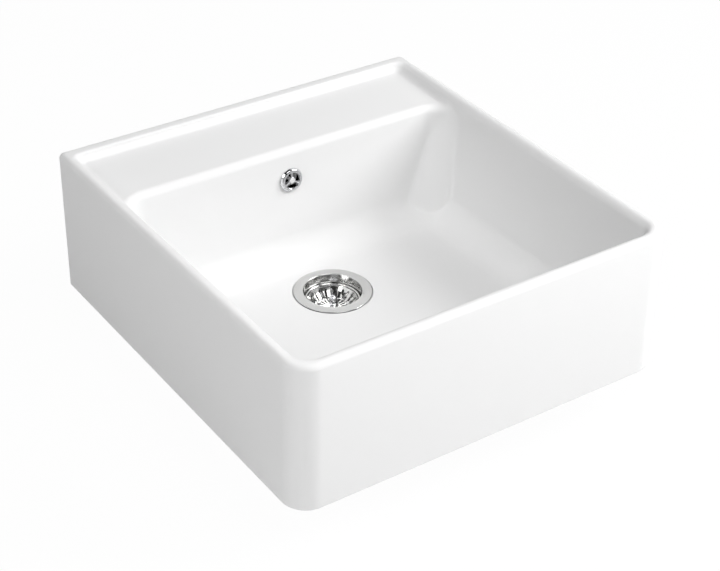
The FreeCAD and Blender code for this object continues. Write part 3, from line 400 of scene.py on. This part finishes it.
# Sprayed white glaze on fireclay: deep gloss that rolls over slow waves of the cast body, a faint
# orange peel, and where it is left bare, the matt cream of the fired clay.
fireclay, tree = new_finish("white_fireclay_glaze")
place = add(tree, "ShaderNodeTexCoord").outputs["Object"]
waves = add(tree, "ShaderNodeTexNoise", {"Vector": place}, {"Scale": 1 / 0.060, "Detail": 1.0})
peel = add(tree, "ShaderNodeTexNoise", {"Vector": place}, {"Scale": 1 / 0.0035, "Detail": 2.0})
bump = add(tree, "ShaderNodeBump", {"Height": waves.outputs["Fac"]}, {"Strength": 0.25, "Distance": 0.0012})
bump = add(tree, "ShaderNodeBump", {"Height": peel.outputs["Fac"], "Normal": bump.outputs["Normal"]},
           {"Strength": 0.12, "Distance": 0.0001})
tint = add(tree, "ShaderNodeMix", {"Factor": waves.outputs["Fac"]}, data_type="RGBA")
tint.inputs["A"].default_value, tint.inputs["B"].default_value = linear("#F2F3F4"), linear("#F6F6F6")
gloss = add(tree, "ShaderNodeMapRange", {"Value": peel.outputs["Fac"]}, {"To Min": 0.14, "To Max": 0.22})
glaze_shader = add(tree, "ShaderNodeBsdfPrincipled",
                   {"Base Color": tint.outputs["Result"], "Roughness": gloss.outputs["Result"],
                    "Normal": bump.outputs["Normal"]}, {"IOR": 1.5})
grit = add(tree, "ShaderNodeTexNoise", {"Vector": place}, {"Scale": 1 / 0.0012, "Detail": 4.0})
grit_bump = add(tree, "ShaderNodeBump", {"Height": grit.outputs["Fac"]},
                {"Strength": 0.5, "Distance": 0.0004})
clay = add(tree, "ShaderNodeMix", {"Factor": grit.outputs["Fac"]}, data_type="RGBA")
clay.inputs["A"].default_value, clay.inputs["B"].default_value = linear("#D9CDB6"), linear("#EBE2D0")
bare = add(tree, "ShaderNodeBsdfPrincipled", {"Base Color": clay.outputs["Result"],
                                              "Normal": grit_bump.outputs["Normal"]}, {"Roughness": 0.85})
where_glazed = add(tree, "ShaderNodeAttribute", attribute_name="glazed")
both = add(tree, "ShaderNodeMixShader", {"Fac": where_glazed.outputs["Fac"]})
tree.links.new(bare.outputs["BSDF"], both.inputs[1])
tree.links.new(glaze_shader.outputs["BSDF"], both.inputs[2])
add(tree, "ShaderNodeOutputMaterial", {"Surface": both.outputs["Shader"]})
sink.data.materials.append(fireclay)
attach(sink, "sink")
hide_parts("sink_body")

# ----------------------------------------------------------------------------------------------
# The waste flange. One pressing of polished stainless steel: a flat rim that lies in the rebate, a
# rolled mouth, a conical cup and a punched grate, held down by the hollow screw in its middle.
# ----------------------------------------------------------------------------------------------
CUP_FLOOR, FLANGE_TOP = -16.0, 24.0
GRATE_BORE, GRATE_RIM, GRATE_OPENINGS, GRATE_BAR, GRATE_CORNER = 11.5, 23.0, 6, 4.0, 1.6


def punched(piece, punch, count, first_turn=0.0):
    """Punch the same opening several times round a piece's axis, with geometry nodes."""
    tree = bpy.data.node_groups.get("punched_round")
    if tree is None:
        tree = bpy.data.node_groups.new("punched_round", "GeometryNodeTree")
        for name, kind in (("Blank", "NodeSocketGeometry"), ("Punch", "NodeSocketObject"),
                           ("Openings", "NodeSocketInt"), ("First Turn", "NodeSocketFloat"),
                           ("Finish", "NodeSocketMaterial")):
            tree.interface.new_socket(name, in_out="INPUT", socket_type=kind)
        tree.interface.new_socket("Pressing", in_out="OUTPUT", socket_type="NodeSocketGeometry")
        given = add(tree, "NodeGroupInput").outputs
        tool = add(tree, "GeometryNodeObjectInfo", {"Object": given["Punch"]})
        stations = add(tree, "GeometryNodePoints", {"Count": given["Openings"]})
        step = add(tree, "ShaderNodeMath", {1: given["Openings"]}, {0: 2 * math.pi}, operation="DIVIDE")
        number = add(tree, "GeometryNodeInputIndex")
        turn = add(tree, "ShaderNodeMath", {0: number.outputs["Index"], 1: step.outputs[0],
                                            2: given["First Turn"]}, operation="MULTIPLY_ADD")
        angles = add(tree, "ShaderNodeCombineXYZ", {"Z": turn.outputs[0]})
        rotation = add(tree, "FunctionNodeEulerToRotation", {"Euler": angles.outputs[0]})
        ring = add(tree, "GeometryNodeInstanceOnPoints",
                   {"Points": stations.outputs[0], "Instance": tool.outputs["Geometry"],
                    "Rotation": rotation.outputs[0]})
        tools = add(tree, "GeometryNodeRealizeInstances", {"Geometry": ring.outputs[0]})
        cut = add(tree, "GeometryNodeMeshBoolean", {"Mesh 1": given["Blank"], "Mesh 2": tools.outputs[0]},
                  operation="DIFFERENCE", solver="MANIFOLD")
        whole = add(tree, "GeometryNodeRealizeInstances", {"Geometry": cut.outputs["Mesh"]})
        done = add(tree, "GeometryNodeSetMaterial",
                   {"Geometry": whole.outputs[0], "Material": given["Finish"]})
        add(tree, "NodeGroupOutput", {"Pressing": done.outputs[0]})
    step = piece.modifiers.new("punched", "NODES")
    step.node_group = tree
    identifiers = {item.name: item.identifier for item in tree.interface.items_tree if item.in_out == "INPUT"}
    step[identifiers["Punch"]] = punch
    step[identifiers["Openings"]] = count
    step[identifiers["First Turn"]] = first_turn
    if piece.data.materials:
        step[identifiers["Finish"]] = piece.data.materials[0]
    settle(piece)
    bpy.data.objects.remove(punch)
    return piece


def sector(name, inner, outer, count, bar, ease, foot, top):
    """A punch for one opening of a round grate: a ring's sector between parallel bars, corners eased."""
    def spot(radius, share):
        angle = share * (math.pi / count - math.asin(bar / 2 / radius))
        return radius * math.cos(angle), radius * math.sin(angle)

    sweep = np.linspace(-0.9, 0.9, 15)
    corners = [(*spot(outer, -1), ease)] + [spot(outer, share) for share in sweep]
    corners += [(*spot(outer, 1), ease), (*spot(inner, 1), ease)]
    corners += [spot(inner, -share) for share in sweep] + [(*spot(inner, -1), ease)]
    return prism(name, eased(corners), foot, top)


def prism(name, outline, foot, top):
    """A closed bar that stands on an outline in plan."""
    count = len(outline)
    points = [(x, y, foot) for x, y in outline] + [(x, y, top) for x, y in outline]
    polygons = [tuple(reversed(range(count))), tuple(range(count, 2 * count))]
    for index in range(count):
        following = (index + 1) % count
        polygons.append((index, following, count + following, count + index))
    return new_piece(name, points, polygons)


# Polished stainless steel: a clear, slightly soft mirror with the faint rings of the polishing mop,
# which run round the axis of the waste.
steel, tree = new_finish("polished_stainless_steel")
place = add(tree, "ShaderNodeTexCoord").outputs["Object"]
centred = add(tree, "ShaderNodeVectorMath", {0: place}, operation="SUBTRACT")
centred.inputs[1].default_value = (0, DRAIN_Y * MM, 0)
plan = add(tree, "ShaderNodeVectorMath", {0: centred.outputs[0]}, operation="MULTIPLY")
plan.inputs[1].default_value = (1, 1, 0)
radius = add(tree, "ShaderNodeVectorMath", {0: plan.outputs[0]}, operation="LENGTH")
height = add(tree, "ShaderNodeSeparateXYZ", {0: centred.outputs[0]})
track = add(tree, "ShaderNodeCombineXYZ", {"X": radius.outputs["Value"], "Z": height.outputs["Z"]})
mop = add(tree, "ShaderNodeTexNoise", {"Vector": track.outputs[0]}, {"Scale": 1 / 0.0006, "Detail": 2.0})
handling = add(tree, "ShaderNodeTexNoise", {"Vector": place}, {"Scale": 1 / 0.018, "Detail": 3.0})
soft = add(tree, "ShaderNodeMapRange", {"Value": handling.outputs["Fac"]}, {"To Min": 0.09, "To Max": 0.17})
bump = add(tree, "ShaderNodeBump", {"Height": mop.outputs["Fac"]}, {"Strength": 0.10, "Distance": 0.00005})
shine = add(tree, "ShaderNodeBsdfPrincipled",
            {"Roughness": soft.outputs["Result"], "Normal": bump.outputs["Normal"]},
            {"Metallic": 1.0, "Base Color": linear("#DADAD9")})
add(tree, "ShaderNodeOutputMaterial", {"Surface": shine.outputs["BSDF"]})

SHEET = 1.0
flange = turned("steel_flange", eased([
    (6.3, CUP_FLOOR - SHEET), (30.6, CUP_FLOOR - SHEET, 2.5), (35.5, -12.7, 3), (42.3, 2, 8),
    (44.0, FLANGE_TOP - SHEET, 1.2), (57.4, FLANGE_TOP - SHEET, 0.3), (57.4, FLANGE_TOP, 0.6),
    (46.5, FLANGE_TOP, 1.5), (44.8, 24.6, 1), (43.1, 24.4, 0.9), (41.4, 2, 8), (34.5, -12, 3),
    (30, CUP_FLOOR, 2.5), (6.3, CUP_FLOOR)]), turns=160)
flange.data.materials.append(steel)
punched(flange, sector("grate_punch", GRATE_BORE, GRATE_RIM, GRATE_OPENINGS, GRATE_BAR, GRATE_CORNER,
                       CUP_FLOOR - 3, CUP_FLOOR + 2), GRATE_OPENINGS)
flange.data.transform(WASTE)
dome_corners(flange)
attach(flange, "sink")
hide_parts("waste_flange")

# ----------------------------------------------------------------------------------------------
# The flat seals above and below the floor. Stamped from sheets of black EPDM rubber, and pressed
# by flange and waste body against the clay.
# ----------------------------------------------------------------------------------------------
# Black sheet rubber: a dull, slightly dusty skin with a fine talc mottle.
rubber, tree = new_finish("black_epdm_rubber")
place = add(tree, "ShaderNodeTexCoord").outputs["Object"]
talc = add(tree, "ShaderNodeTexNoise", {"Vector": place}, {"Scale": 1 / 0.004, "Detail": 4.0})
skin = add(tree, "ShaderNodeTexNoise", {"Vector": place}, {"Scale": 1 / 0.0005, "Detail": 2.0})
tint = add(tree, "ShaderNodeMix", {"Factor": talc.outputs["Fac"]}, data_type="RGBA")
tint.inputs["A"].default_value, tint.inputs["B"].default_value = linear("#1B1C1D"), linear("#2C2D2E")
bump = add(tree, "ShaderNodeBump", {"Height": skin.outputs["Fac"]}, {"Strength": 0.3, "Distance": 0.0001})
dull = add(tree, "ShaderNodeBsdfPrincipled",
           {"Base Color": tint.outputs["Result"], "Normal": bump.outputs["Normal"]}, {"Roughness": 0.62})
add(tree, "ShaderNodeOutputMaterial", {"Surface": dull.outputs["BSDF"]})


def coat(node, finish):
    """Give a piece that comes ready from the frame its finish."""
    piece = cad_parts[node]
    piece.data.materials.clear()
    piece.data.materials.append(finish)


for node in ("flange_seal", "underside_seal"):
    coat(node, rubber)

# ----------------------------------------------------------------------------------------------
# The waste body. Injection-moulded white polypropylene: a cup with a threaded outlet for the trap,
# an inlet for the overflow pipe and a hub on three ribs, drawn up to the floor by the hollow screw.
# ----------------------------------------------------------------------------------------------
def polypropylene(name, deep, pale, glow):
    """Moulded polypropylene: satin, a little milky, with the faint flow marks of the mould."""
    plastic, tree = new_finish(name)
    place = add(tree, "ShaderNodeTexCoord").outputs["Object"]
    flow = add(tree, "ShaderNodeTexNoise", {"Vector": place},
               {"Scale": 1 / 0.012, "Detail": 2.0, "Distortion": 0.8})
    tint = add(tree, "ShaderNodeMix", {"Factor": flow.outputs["Fac"]}, data_type="RGBA")
    tint.inputs["A"].default_value, tint.inputs["B"].default_value = linear(deep), linear(pale)
    soft = add(tree, "ShaderNodeMapRange", {"Value": flow.outputs["Fac"]}, {"To Min": 0.34, "To Max": 0.44})
    bump = add(tree, "ShaderNodeBump", {"Height": flow.outputs["Fac"]},
               {"Strength": 0.15, "Distance": 0.0003})
    satin = add(tree, "ShaderNodeBsdfPrincipled",
                {"Base Color": tint.outputs["Result"], "Roughness": soft.outputs["Result"],
                 "Normal": bump.outputs["Normal"]},
                {"IOR": 1.49, "Subsurface Weight": glow, "Subsurface Radius": (0.002, 0.002, 0.002)})
    add(tree, "ShaderNodeOutputMaterial", {"Surface": satin.outputs["BSDF"]})
    return plastic


plastic = polypropylene("white_polypropylene", "#E2E3E1", "#EEEEEC", 0.08)
coat("waste_body", plastic)

# ----------------------------------------------------------------------------------------------
# The hollow screw and the insert that it turns into. Turned from brass bar, bright from the lathe.
# ----------------------------------------------------------------------------------------------
# Turned brass: warm yellow, fine rings left by the tool, here and there a little dulled.
brass, tree = new_finish("turned_brass")
place = add(tree, "ShaderNodeTexCoord").outputs["Object"]
tarnish = add(tree, "ShaderNodeTexNoise", {"Vector": place}, {"Scale": 1 / 0.008, "Detail": 3.0})
tint = add(tree, "ShaderNodeMix", {"Factor": tarnish.outputs["Fac"]}, data_type="RGBA")
tint.inputs["A"].default_value, tint.inputs["B"].default_value = linear("#C9A24E"), linear("#DDBD72")
soft = add(tree, "ShaderNodeMapRange", {"Value": tarnish.outputs["Fac"]}, {"To Min": 0.2, "To Max": 0.36})
lathe = add(tree, "ShaderNodeSeparateXYZ", {0: place})
FEED = 0.0004
feed = add(tree, "ShaderNodeMath", {0: lathe.outputs["Z"]}, {1: 2 * math.pi / FEED}, operation="MULTIPLY")
marks = add(tree, "ShaderNodeMath", {0: feed.outputs[0]}, operation="SINE")
bump = add(tree, "ShaderNodeBump", {"Height": marks.outputs[0]}, {"Strength": 0.1, "Distance": 0.00003})
warm = add(tree, "ShaderNodeBsdfPrincipled",
           {"Base Color": tint.outputs["Result"], "Roughness": soft.outputs["Result"],
            "Normal": bump.outputs["Normal"]}, {"Metallic": 1.0})
add(tree, "ShaderNodeOutputMaterial", {"Surface": warm.outputs["BSDF"]})
for node in ("clamp_screw", "clamp_insert"):
    coat(node, brass)

# ----------------------------------------------------------------------------------------------
# The strainer basket. Pressed from thin stainless sheet, its lip rolled outwards, its floor and
# flank slotted by 24 strokes of one punch, then polished.
# ----------------------------------------------------------------------------------------------
BASKET_FLOOR, BASKET_SHEET, STEM_HOLE = -6.0, 0.8, 2.1
LIP_RADIUS, LIP_TOP, LIP_FOOT = 40.7, 10.8, 8.2
basket = turned("steel_basket", eased([
    (STEM_HOLE, BASKET_FLOOR - BASKET_SHEET), (25.4, BASKET_FLOOR - BASKET_SHEET, 9), (34.4, 1.2, 3),
    (38.5, 7.4, 1.5), (38.8, 8.0, 0.3), (LIP_RADIUS, LIP_FOOT, 1.0), (LIP_RADIUS, LIP_TOP, 1.3),
    (37.9, LIP_TOP, 1.35), (37.7, 7.4, 1.5), (33.6, 1.6, 3), (24.9, BASKET_FLOOR, 8),
    (STEM_HOLE, BASKET_FLOOR)]), turns=192)
basket.data.materials.append(steel)
SLOTS, SLOT_START, SLOT_END, INNER_HALF, OUTER_HALF = 24, 13.5, 36.0, 1.25, 2.2
half_turn = np.linspace(-math.pi / 2, math.pi / 2, 9)
slot = [(SLOT_END - OUTER_HALF + OUTER_HALF * math.cos(a), OUTER_HALF * math.sin(a)) for a in half_turn]
slot += [(SLOT_START + INNER_HALF - INNER_HALF * math.cos(a), -INNER_HALF * math.sin(a)) for a in half_turn]
punched(basket, prism("slot_punch", slot, -12.0, 7.0), SLOTS)
basket.data.transform(WASTE)
dome_corners(basket)
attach(basket, "basket")
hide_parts("basket")

# ----------------------------------------------------------------------------------------------
# The knob. Turned from brass and chromed: a ball to pull by, a thin neck, a flared collar and a
# drum, and screwed down on the basket's floor from below.
# ----------------------------------------------------------------------------------------------
# Chrome plate: a hard, cool, near perfect mirror with the least haze of handling.
chrome, tree = new_finish("chrome_plate")
place = add(tree, "ShaderNodeTexCoord").outputs["Object"]
haze = add(tree, "ShaderNodeTexNoise", {"Vector": place}, {"Scale": 1 / 0.006, "Detail": 3.0})
soft = add(tree, "ShaderNodeMapRange", {"Value": haze.outputs["Fac"]}, {"To Min": 0.03, "To Max": 0.09})
mirror = add(tree, "ShaderNodeBsdfPrincipled", {"Roughness": soft.outputs["Result"]},
             {"Metallic": 1.0, "Base Color": linear("#DADBDD")})
add(tree, "ShaderNodeOutputMaterial", {"Surface": mirror.outputs["BSDF"]})

BALL, BALL_MIDDLE, NECK, DRUM, COLLAR = 5.75, 9.6, 2.4, 4.6, 5.4
FLARE_OUT, FLARE_FOOT, FLARE_RISE = 2.6, 0.5, 3.2
neck_turn = math.asin(NECK / BALL)
knob_outline = [(0, BASKET_FLOOR), (DRUM - 0.2, BASKET_FLOOR), (DRUM, BASKET_FLOOR + 0.2), (DRUM, -0.9),
                (COLLAR - 0.2, -0.7), (COLLAR, -0.5), (COLLAR, 0.1), (COLLAR - 0.2, 0.4)]
knob_outline += [(NECK + FLARE_OUT * (1 - math.sin(a)), FLARE_FOOT + FLARE_RISE * (1 - math.cos(a)))
                 for a in np.linspace(0.1, math.pi / 2, 12)]
knob_outline += [(BALL * math.sin(a), BALL_MIDDLE - BALL * math.cos(a))
                 for a in np.linspace(neck_turn + 0.05, math.pi - 0.01, 26)]
knob_outline += [(0, BALL_MIDDLE + BALL)]
knob = turned("chromed_knob", knob_outline, WASTE, turns=64)
knob.data.materials.append(chrome)
dome_corners(knob, 50)
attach(knob, "basket")
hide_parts("basket_knob")

# ----------------------------------------------------------------------------------------------
# Under the basket: the stem that holds it together, the split sleeve that grips the screw's bore,
# the moulded rubber seal and the washer that backs it.
# ----------------------------------------------------------------------------------------------
for node in ("basket_stem", "seal_retainer", "stem_clip"):
    coat(node, steel)
coat("basket_seal", rubber)

# ----------------------------------------------------------------------------------------------
# The overflow rosette and its screw. Cast in zinc, polished and chromed: a domed ring on the
# bowl's rear wall with three kidney openings, held by one countersunk screw through its boss.
# ----------------------------------------------------------------------------------------------
KIDNEYS, KIDNEY_BORE, KIDNEY_RIM, SPOKE, KIDNEY_CORNER = 3, 5.4, 12.1, 2.8, 1.3
SKIRT_END, RING_FRONT, GRILLE_FRONT, GRILLE_BACK = -5.0, 5.0, 3.6, 2.2
rosette = turned("chromed_rosette", eased([
    (12.5, SKIRT_END), (13.2, SKIRT_END), (13.2, 1), (18.5, 1), (18.5, 1.9, 0.4), (16.9, 4.4, 1.6),
    (15.6, RING_FRONT, 0.8), (13.0, RING_FRONT, 0.5), (12.5, GRILLE_FRONT), (5.0, GRILLE_FRONT, 0.4),
    (4.8, 4.5, 0.4), (4.0, 4.5), (2.8, 3.0), (2.8, GRILLE_BACK), (12.5, GRILLE_BACK)]), turns=96)
rosette.data.materials.append(chrome)
punched(rosette, sector("kidney_punch", KIDNEY_BORE, KIDNEY_RIM, KIDNEYS, SPOKE, KIDNEY_CORNER, 1.0, 4.0),
        KIDNEYS, math.radians(30))
rosette.data.transform(OVERFLOW)
dome_corners(rosette)
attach(rosette, "sink")
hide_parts("overflow_rosette")

screw = turned("rosette_screw", [(0, -33.5), (2.1, -33.5), (2.5, -33.0), (2.5, 3.0), (3.9, 4.4), (3.9, 4.55),
                                 (3.4, 4.75), (2.4, 4.92), (1.2, 5.0), (0, 5.0)], turns=48)
work(screw, prism("driver_slot", [(-5, -0.5), (5, -0.5), (5, 0.5), (-5, 0.5)], 3.6, 6.0))
screw.data.transform(OVERFLOW)
screw.data.materials.append(chrome)
dome_corners(screw, 25)
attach(screw, "sink")
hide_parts("overflow_screw")

# ----------------------------------------------------------------------------------------------
# Behind the wall: the overflow's seals, its moulded elbow with a brass insert, and the rigid pipe
# with two union nuts that takes the water down through the chamber to the waste body.
# ----------------------------------------------------------------------------------------------
for node in ("overflow_front_seal", "overflow_rear_seal", "pipe_seal_top", "pipe_seal_bottom"):
    coat(node, rubber)
for node in ("overflow_pipe", "pipe_nut_top", "pipe_nut_bottom"):
    coat(node, plastic)
# The elbow is coloured black as painted shade: its dark finish stands in for the shade inside it that the
# rosette's openings show.
coat("overflow_elbow", polypropylene("painted_shade_black_polypropylene", "#161718", "#232425", 0.0))
coat("overflow_insert", brass)

# ----------------------------------------------------------------------------------------------
# The set: a pale floor on which the waste stands, a white surround, three soft lamps and the
# camera. The floor and the surround are seen white, and light the sink much less than they show.
# ----------------------------------------------------------------------------------------------
FLOOR_HALF, FLOOR_LEVEL = 9000, -72.5
WHITE_SHARE = 0.97          # how much of the paper's look is plain white
FILL_LIGHT = 0.15           # strength of the light that the surround throws on the sink


def sight_rays(tree):
    """1 for rays that see the set, straight, mirrored or through glass; and the mirrored alone."""
    rays = add(tree, "ShaderNodeLightPath").outputs
    mirrored = rays["Is Glossy Ray"]
    seen = add(tree, "ShaderNodeMath", {0: rays["Is Camera Ray"], 1: mirrored}, operation="MAXIMUM")
    through = add(tree, "ShaderNodeMath", {0: seen.outputs[0], 1: rays["Is Transmission Ray"]},
                  operation="MAXIMUM")
    return through.outputs[0], mirrored


floor = new_piece("floor", [(-FLOOR_HALF, -FLOOR_HALF, FLOOR_LEVEL), (FLOOR_HALF, -FLOOR_HALF, FLOOR_LEVEL),
                            (FLOOR_HALF, FLOOR_HALF, FLOOR_LEVEL), (-FLOOR_HALF, FLOOR_HALF, FLOOR_LEVEL)],
                  [(0, 1, 2, 3)])
# Matt paper that is seen almost white and keeps a trace of the sink's shadow.
paper, tree = new_finish("pale_paper_floor")
place = add(tree, "ShaderNodeTexCoord").outputs["Object"]
fibre = add(tree, "ShaderNodeTexNoise", {"Vector": place}, {"Scale": 1 / 0.3, "Detail": 2.0})
tint = add(tree, "ShaderNodeMix", {"Factor": fibre.outputs["Fac"]}, data_type="RGBA")
tint.inputs["A"].default_value, tint.inputs["B"].default_value = linear("#F3F3F3"), linear("#F5F5F5")
matt = add(tree, "ShaderNodeBsdfDiffuse", {"Color": tint.outputs["Result"]})
white = add(tree, "ShaderNodeEmission", values={"Color": (1, 1, 1, 1), "Strength": 1.0})
share = add(tree, "ShaderNodeMath", {0: sight_rays(tree)[0]}, {1: WHITE_SHARE}, operation="MULTIPLY")
mixed = add(tree, "ShaderNodeMixShader", {"Fac": share.outputs[0]})
tree.links.new(matt.outputs[0], mixed.inputs[1])
tree.links.new(white.outputs[0], mixed.inputs[2])
add(tree, "ShaderNodeOutputMaterial", {"Surface": mixed.outputs[0]})
floor.data.materials.append(paper)

world = bpy.data.worlds.new("white_surround")
bpy.context.scene.world = world
world.use_nodes = True
tree = world.node_tree
tree.nodes.clear()
seen, mirrored = sight_rays(tree)

# Metal also mirrors the unlit part of the room, which lies over the camera.
UNLIT_WAY, UNLIT_EDGE, UNLIT_CORE, UNLIT_DEPTH = (-0.40, -0.60, 0.69), 0.42, 0.66, 0.97
way = add(tree, "ShaderNodeTexCoord").outputs["Generated"]
towards = add(tree, "ShaderNodeVectorMath", {0: way}, operation="DOT_PRODUCT")
towards.inputs[1].default_value = Vector(UNLIT_WAY).normalized()
unlit = add(tree, "ShaderNodeMapRange", {"Value": towards.outputs["Value"]},
            {"From Min": UNLIT_EDGE, "From Max": UNLIT_CORE, "To Min": 0.0, "To Max": UNLIT_DEPTH},
            interpolation_type="SMOOTHSTEP")
dark = add(tree, "ShaderNodeMath", {0: unlit.outputs["Result"], 1: mirrored}, operation="MULTIPLY")
bright = add(tree, "ShaderNodeMath", {1: dark.outputs[0]}, {0: 1.0}, operation="SUBTRACT")
level = add(tree, "ShaderNodeMapRange", {"Value": seen, "To Max": bright.outputs[0]}, {"To Min": FILL_LIGHT})
sky = add(tree, "ShaderNodeBackground", {"Strength": level.outputs["Result"]}, {"Color": (1, 1, 1, 1)})
add(tree, "ShaderNodeOutputWorld", {"Surface": sky.outputs[0]})

# Square softboxes that look at the middle of the sink: their directions and their watts.
SINK_MIDDLE, LAMP_DISTANCE, LAMP_SIZE = Vector((0, 0, 0.11)), 3.0, 1.6
for name, way, power in (("key_softbox", (0.709, -0.410, 0.574), 76),
                         ("front_softbox", (0.0, -0.6, 0.8), 38),
                         ("left_softbox", (-0.810, -0.120, 0.574), 28)):
    lamp = bpy.data.objects.new(name, bpy.data.lights.new(name, "AREA"))
    lamp.data.size, lamp.data.energy = LAMP_SIZE, power
    way = Vector(way).normalized()
    lamp.location = SINK_MIDDLE + way * LAMP_DISTANCE
    lamp.rotation_euler = way.to_track_quat("Z", "Y").to_euler()
    bpy.context.collection.objects.link(lamp)

# The camera, measured from the photograph's rim and foot corners.
AZIMUTH, ELEVATION, ROLL = math.radians(-34.837), math.radians(33.348), math.radians(1.17)
SENSOR, FOCAL = 36.0, 1721.185 / 720 * 36.0
CAMERA_STAND = Vector((6.776, -38.85, 2416.869))
back = Vector((math.sin(AZIMUTH) * math.cos(ELEVATION), -math.cos(AZIMUTH) * math.cos(ELEVATION),
               math.sin(ELEVATION)))
across = Vector((0, 0, 1)).cross(back).normalized()
upward = back.cross(across)
right = across * math.cos(ROLL) + upward * math.sin(ROLL)
upward = upward * math.cos(ROLL) - across * math.sin(ROLL)
camera = bpy.data.objects.new("camera", bpy.data.cameras.new("camera"))
camera.data.lens, camera.data.sensor_width = FOCAL, SENSOR
camera.data.clip_start, camera.data.clip_end = 0.01, 100
turn = Matrix((right, upward, back)).transposed()
stand = SINK_MIDDLE + turn @ CAMERA_STAND * MM
camera.matrix_world = Matrix.Translation(stand) @ turn.to_4x4()
bpy.context.collection.objects.link(camera)
bpy.context.scene.camera = camera
bpy.context.scene.view_settings.view_transform = "Standard"
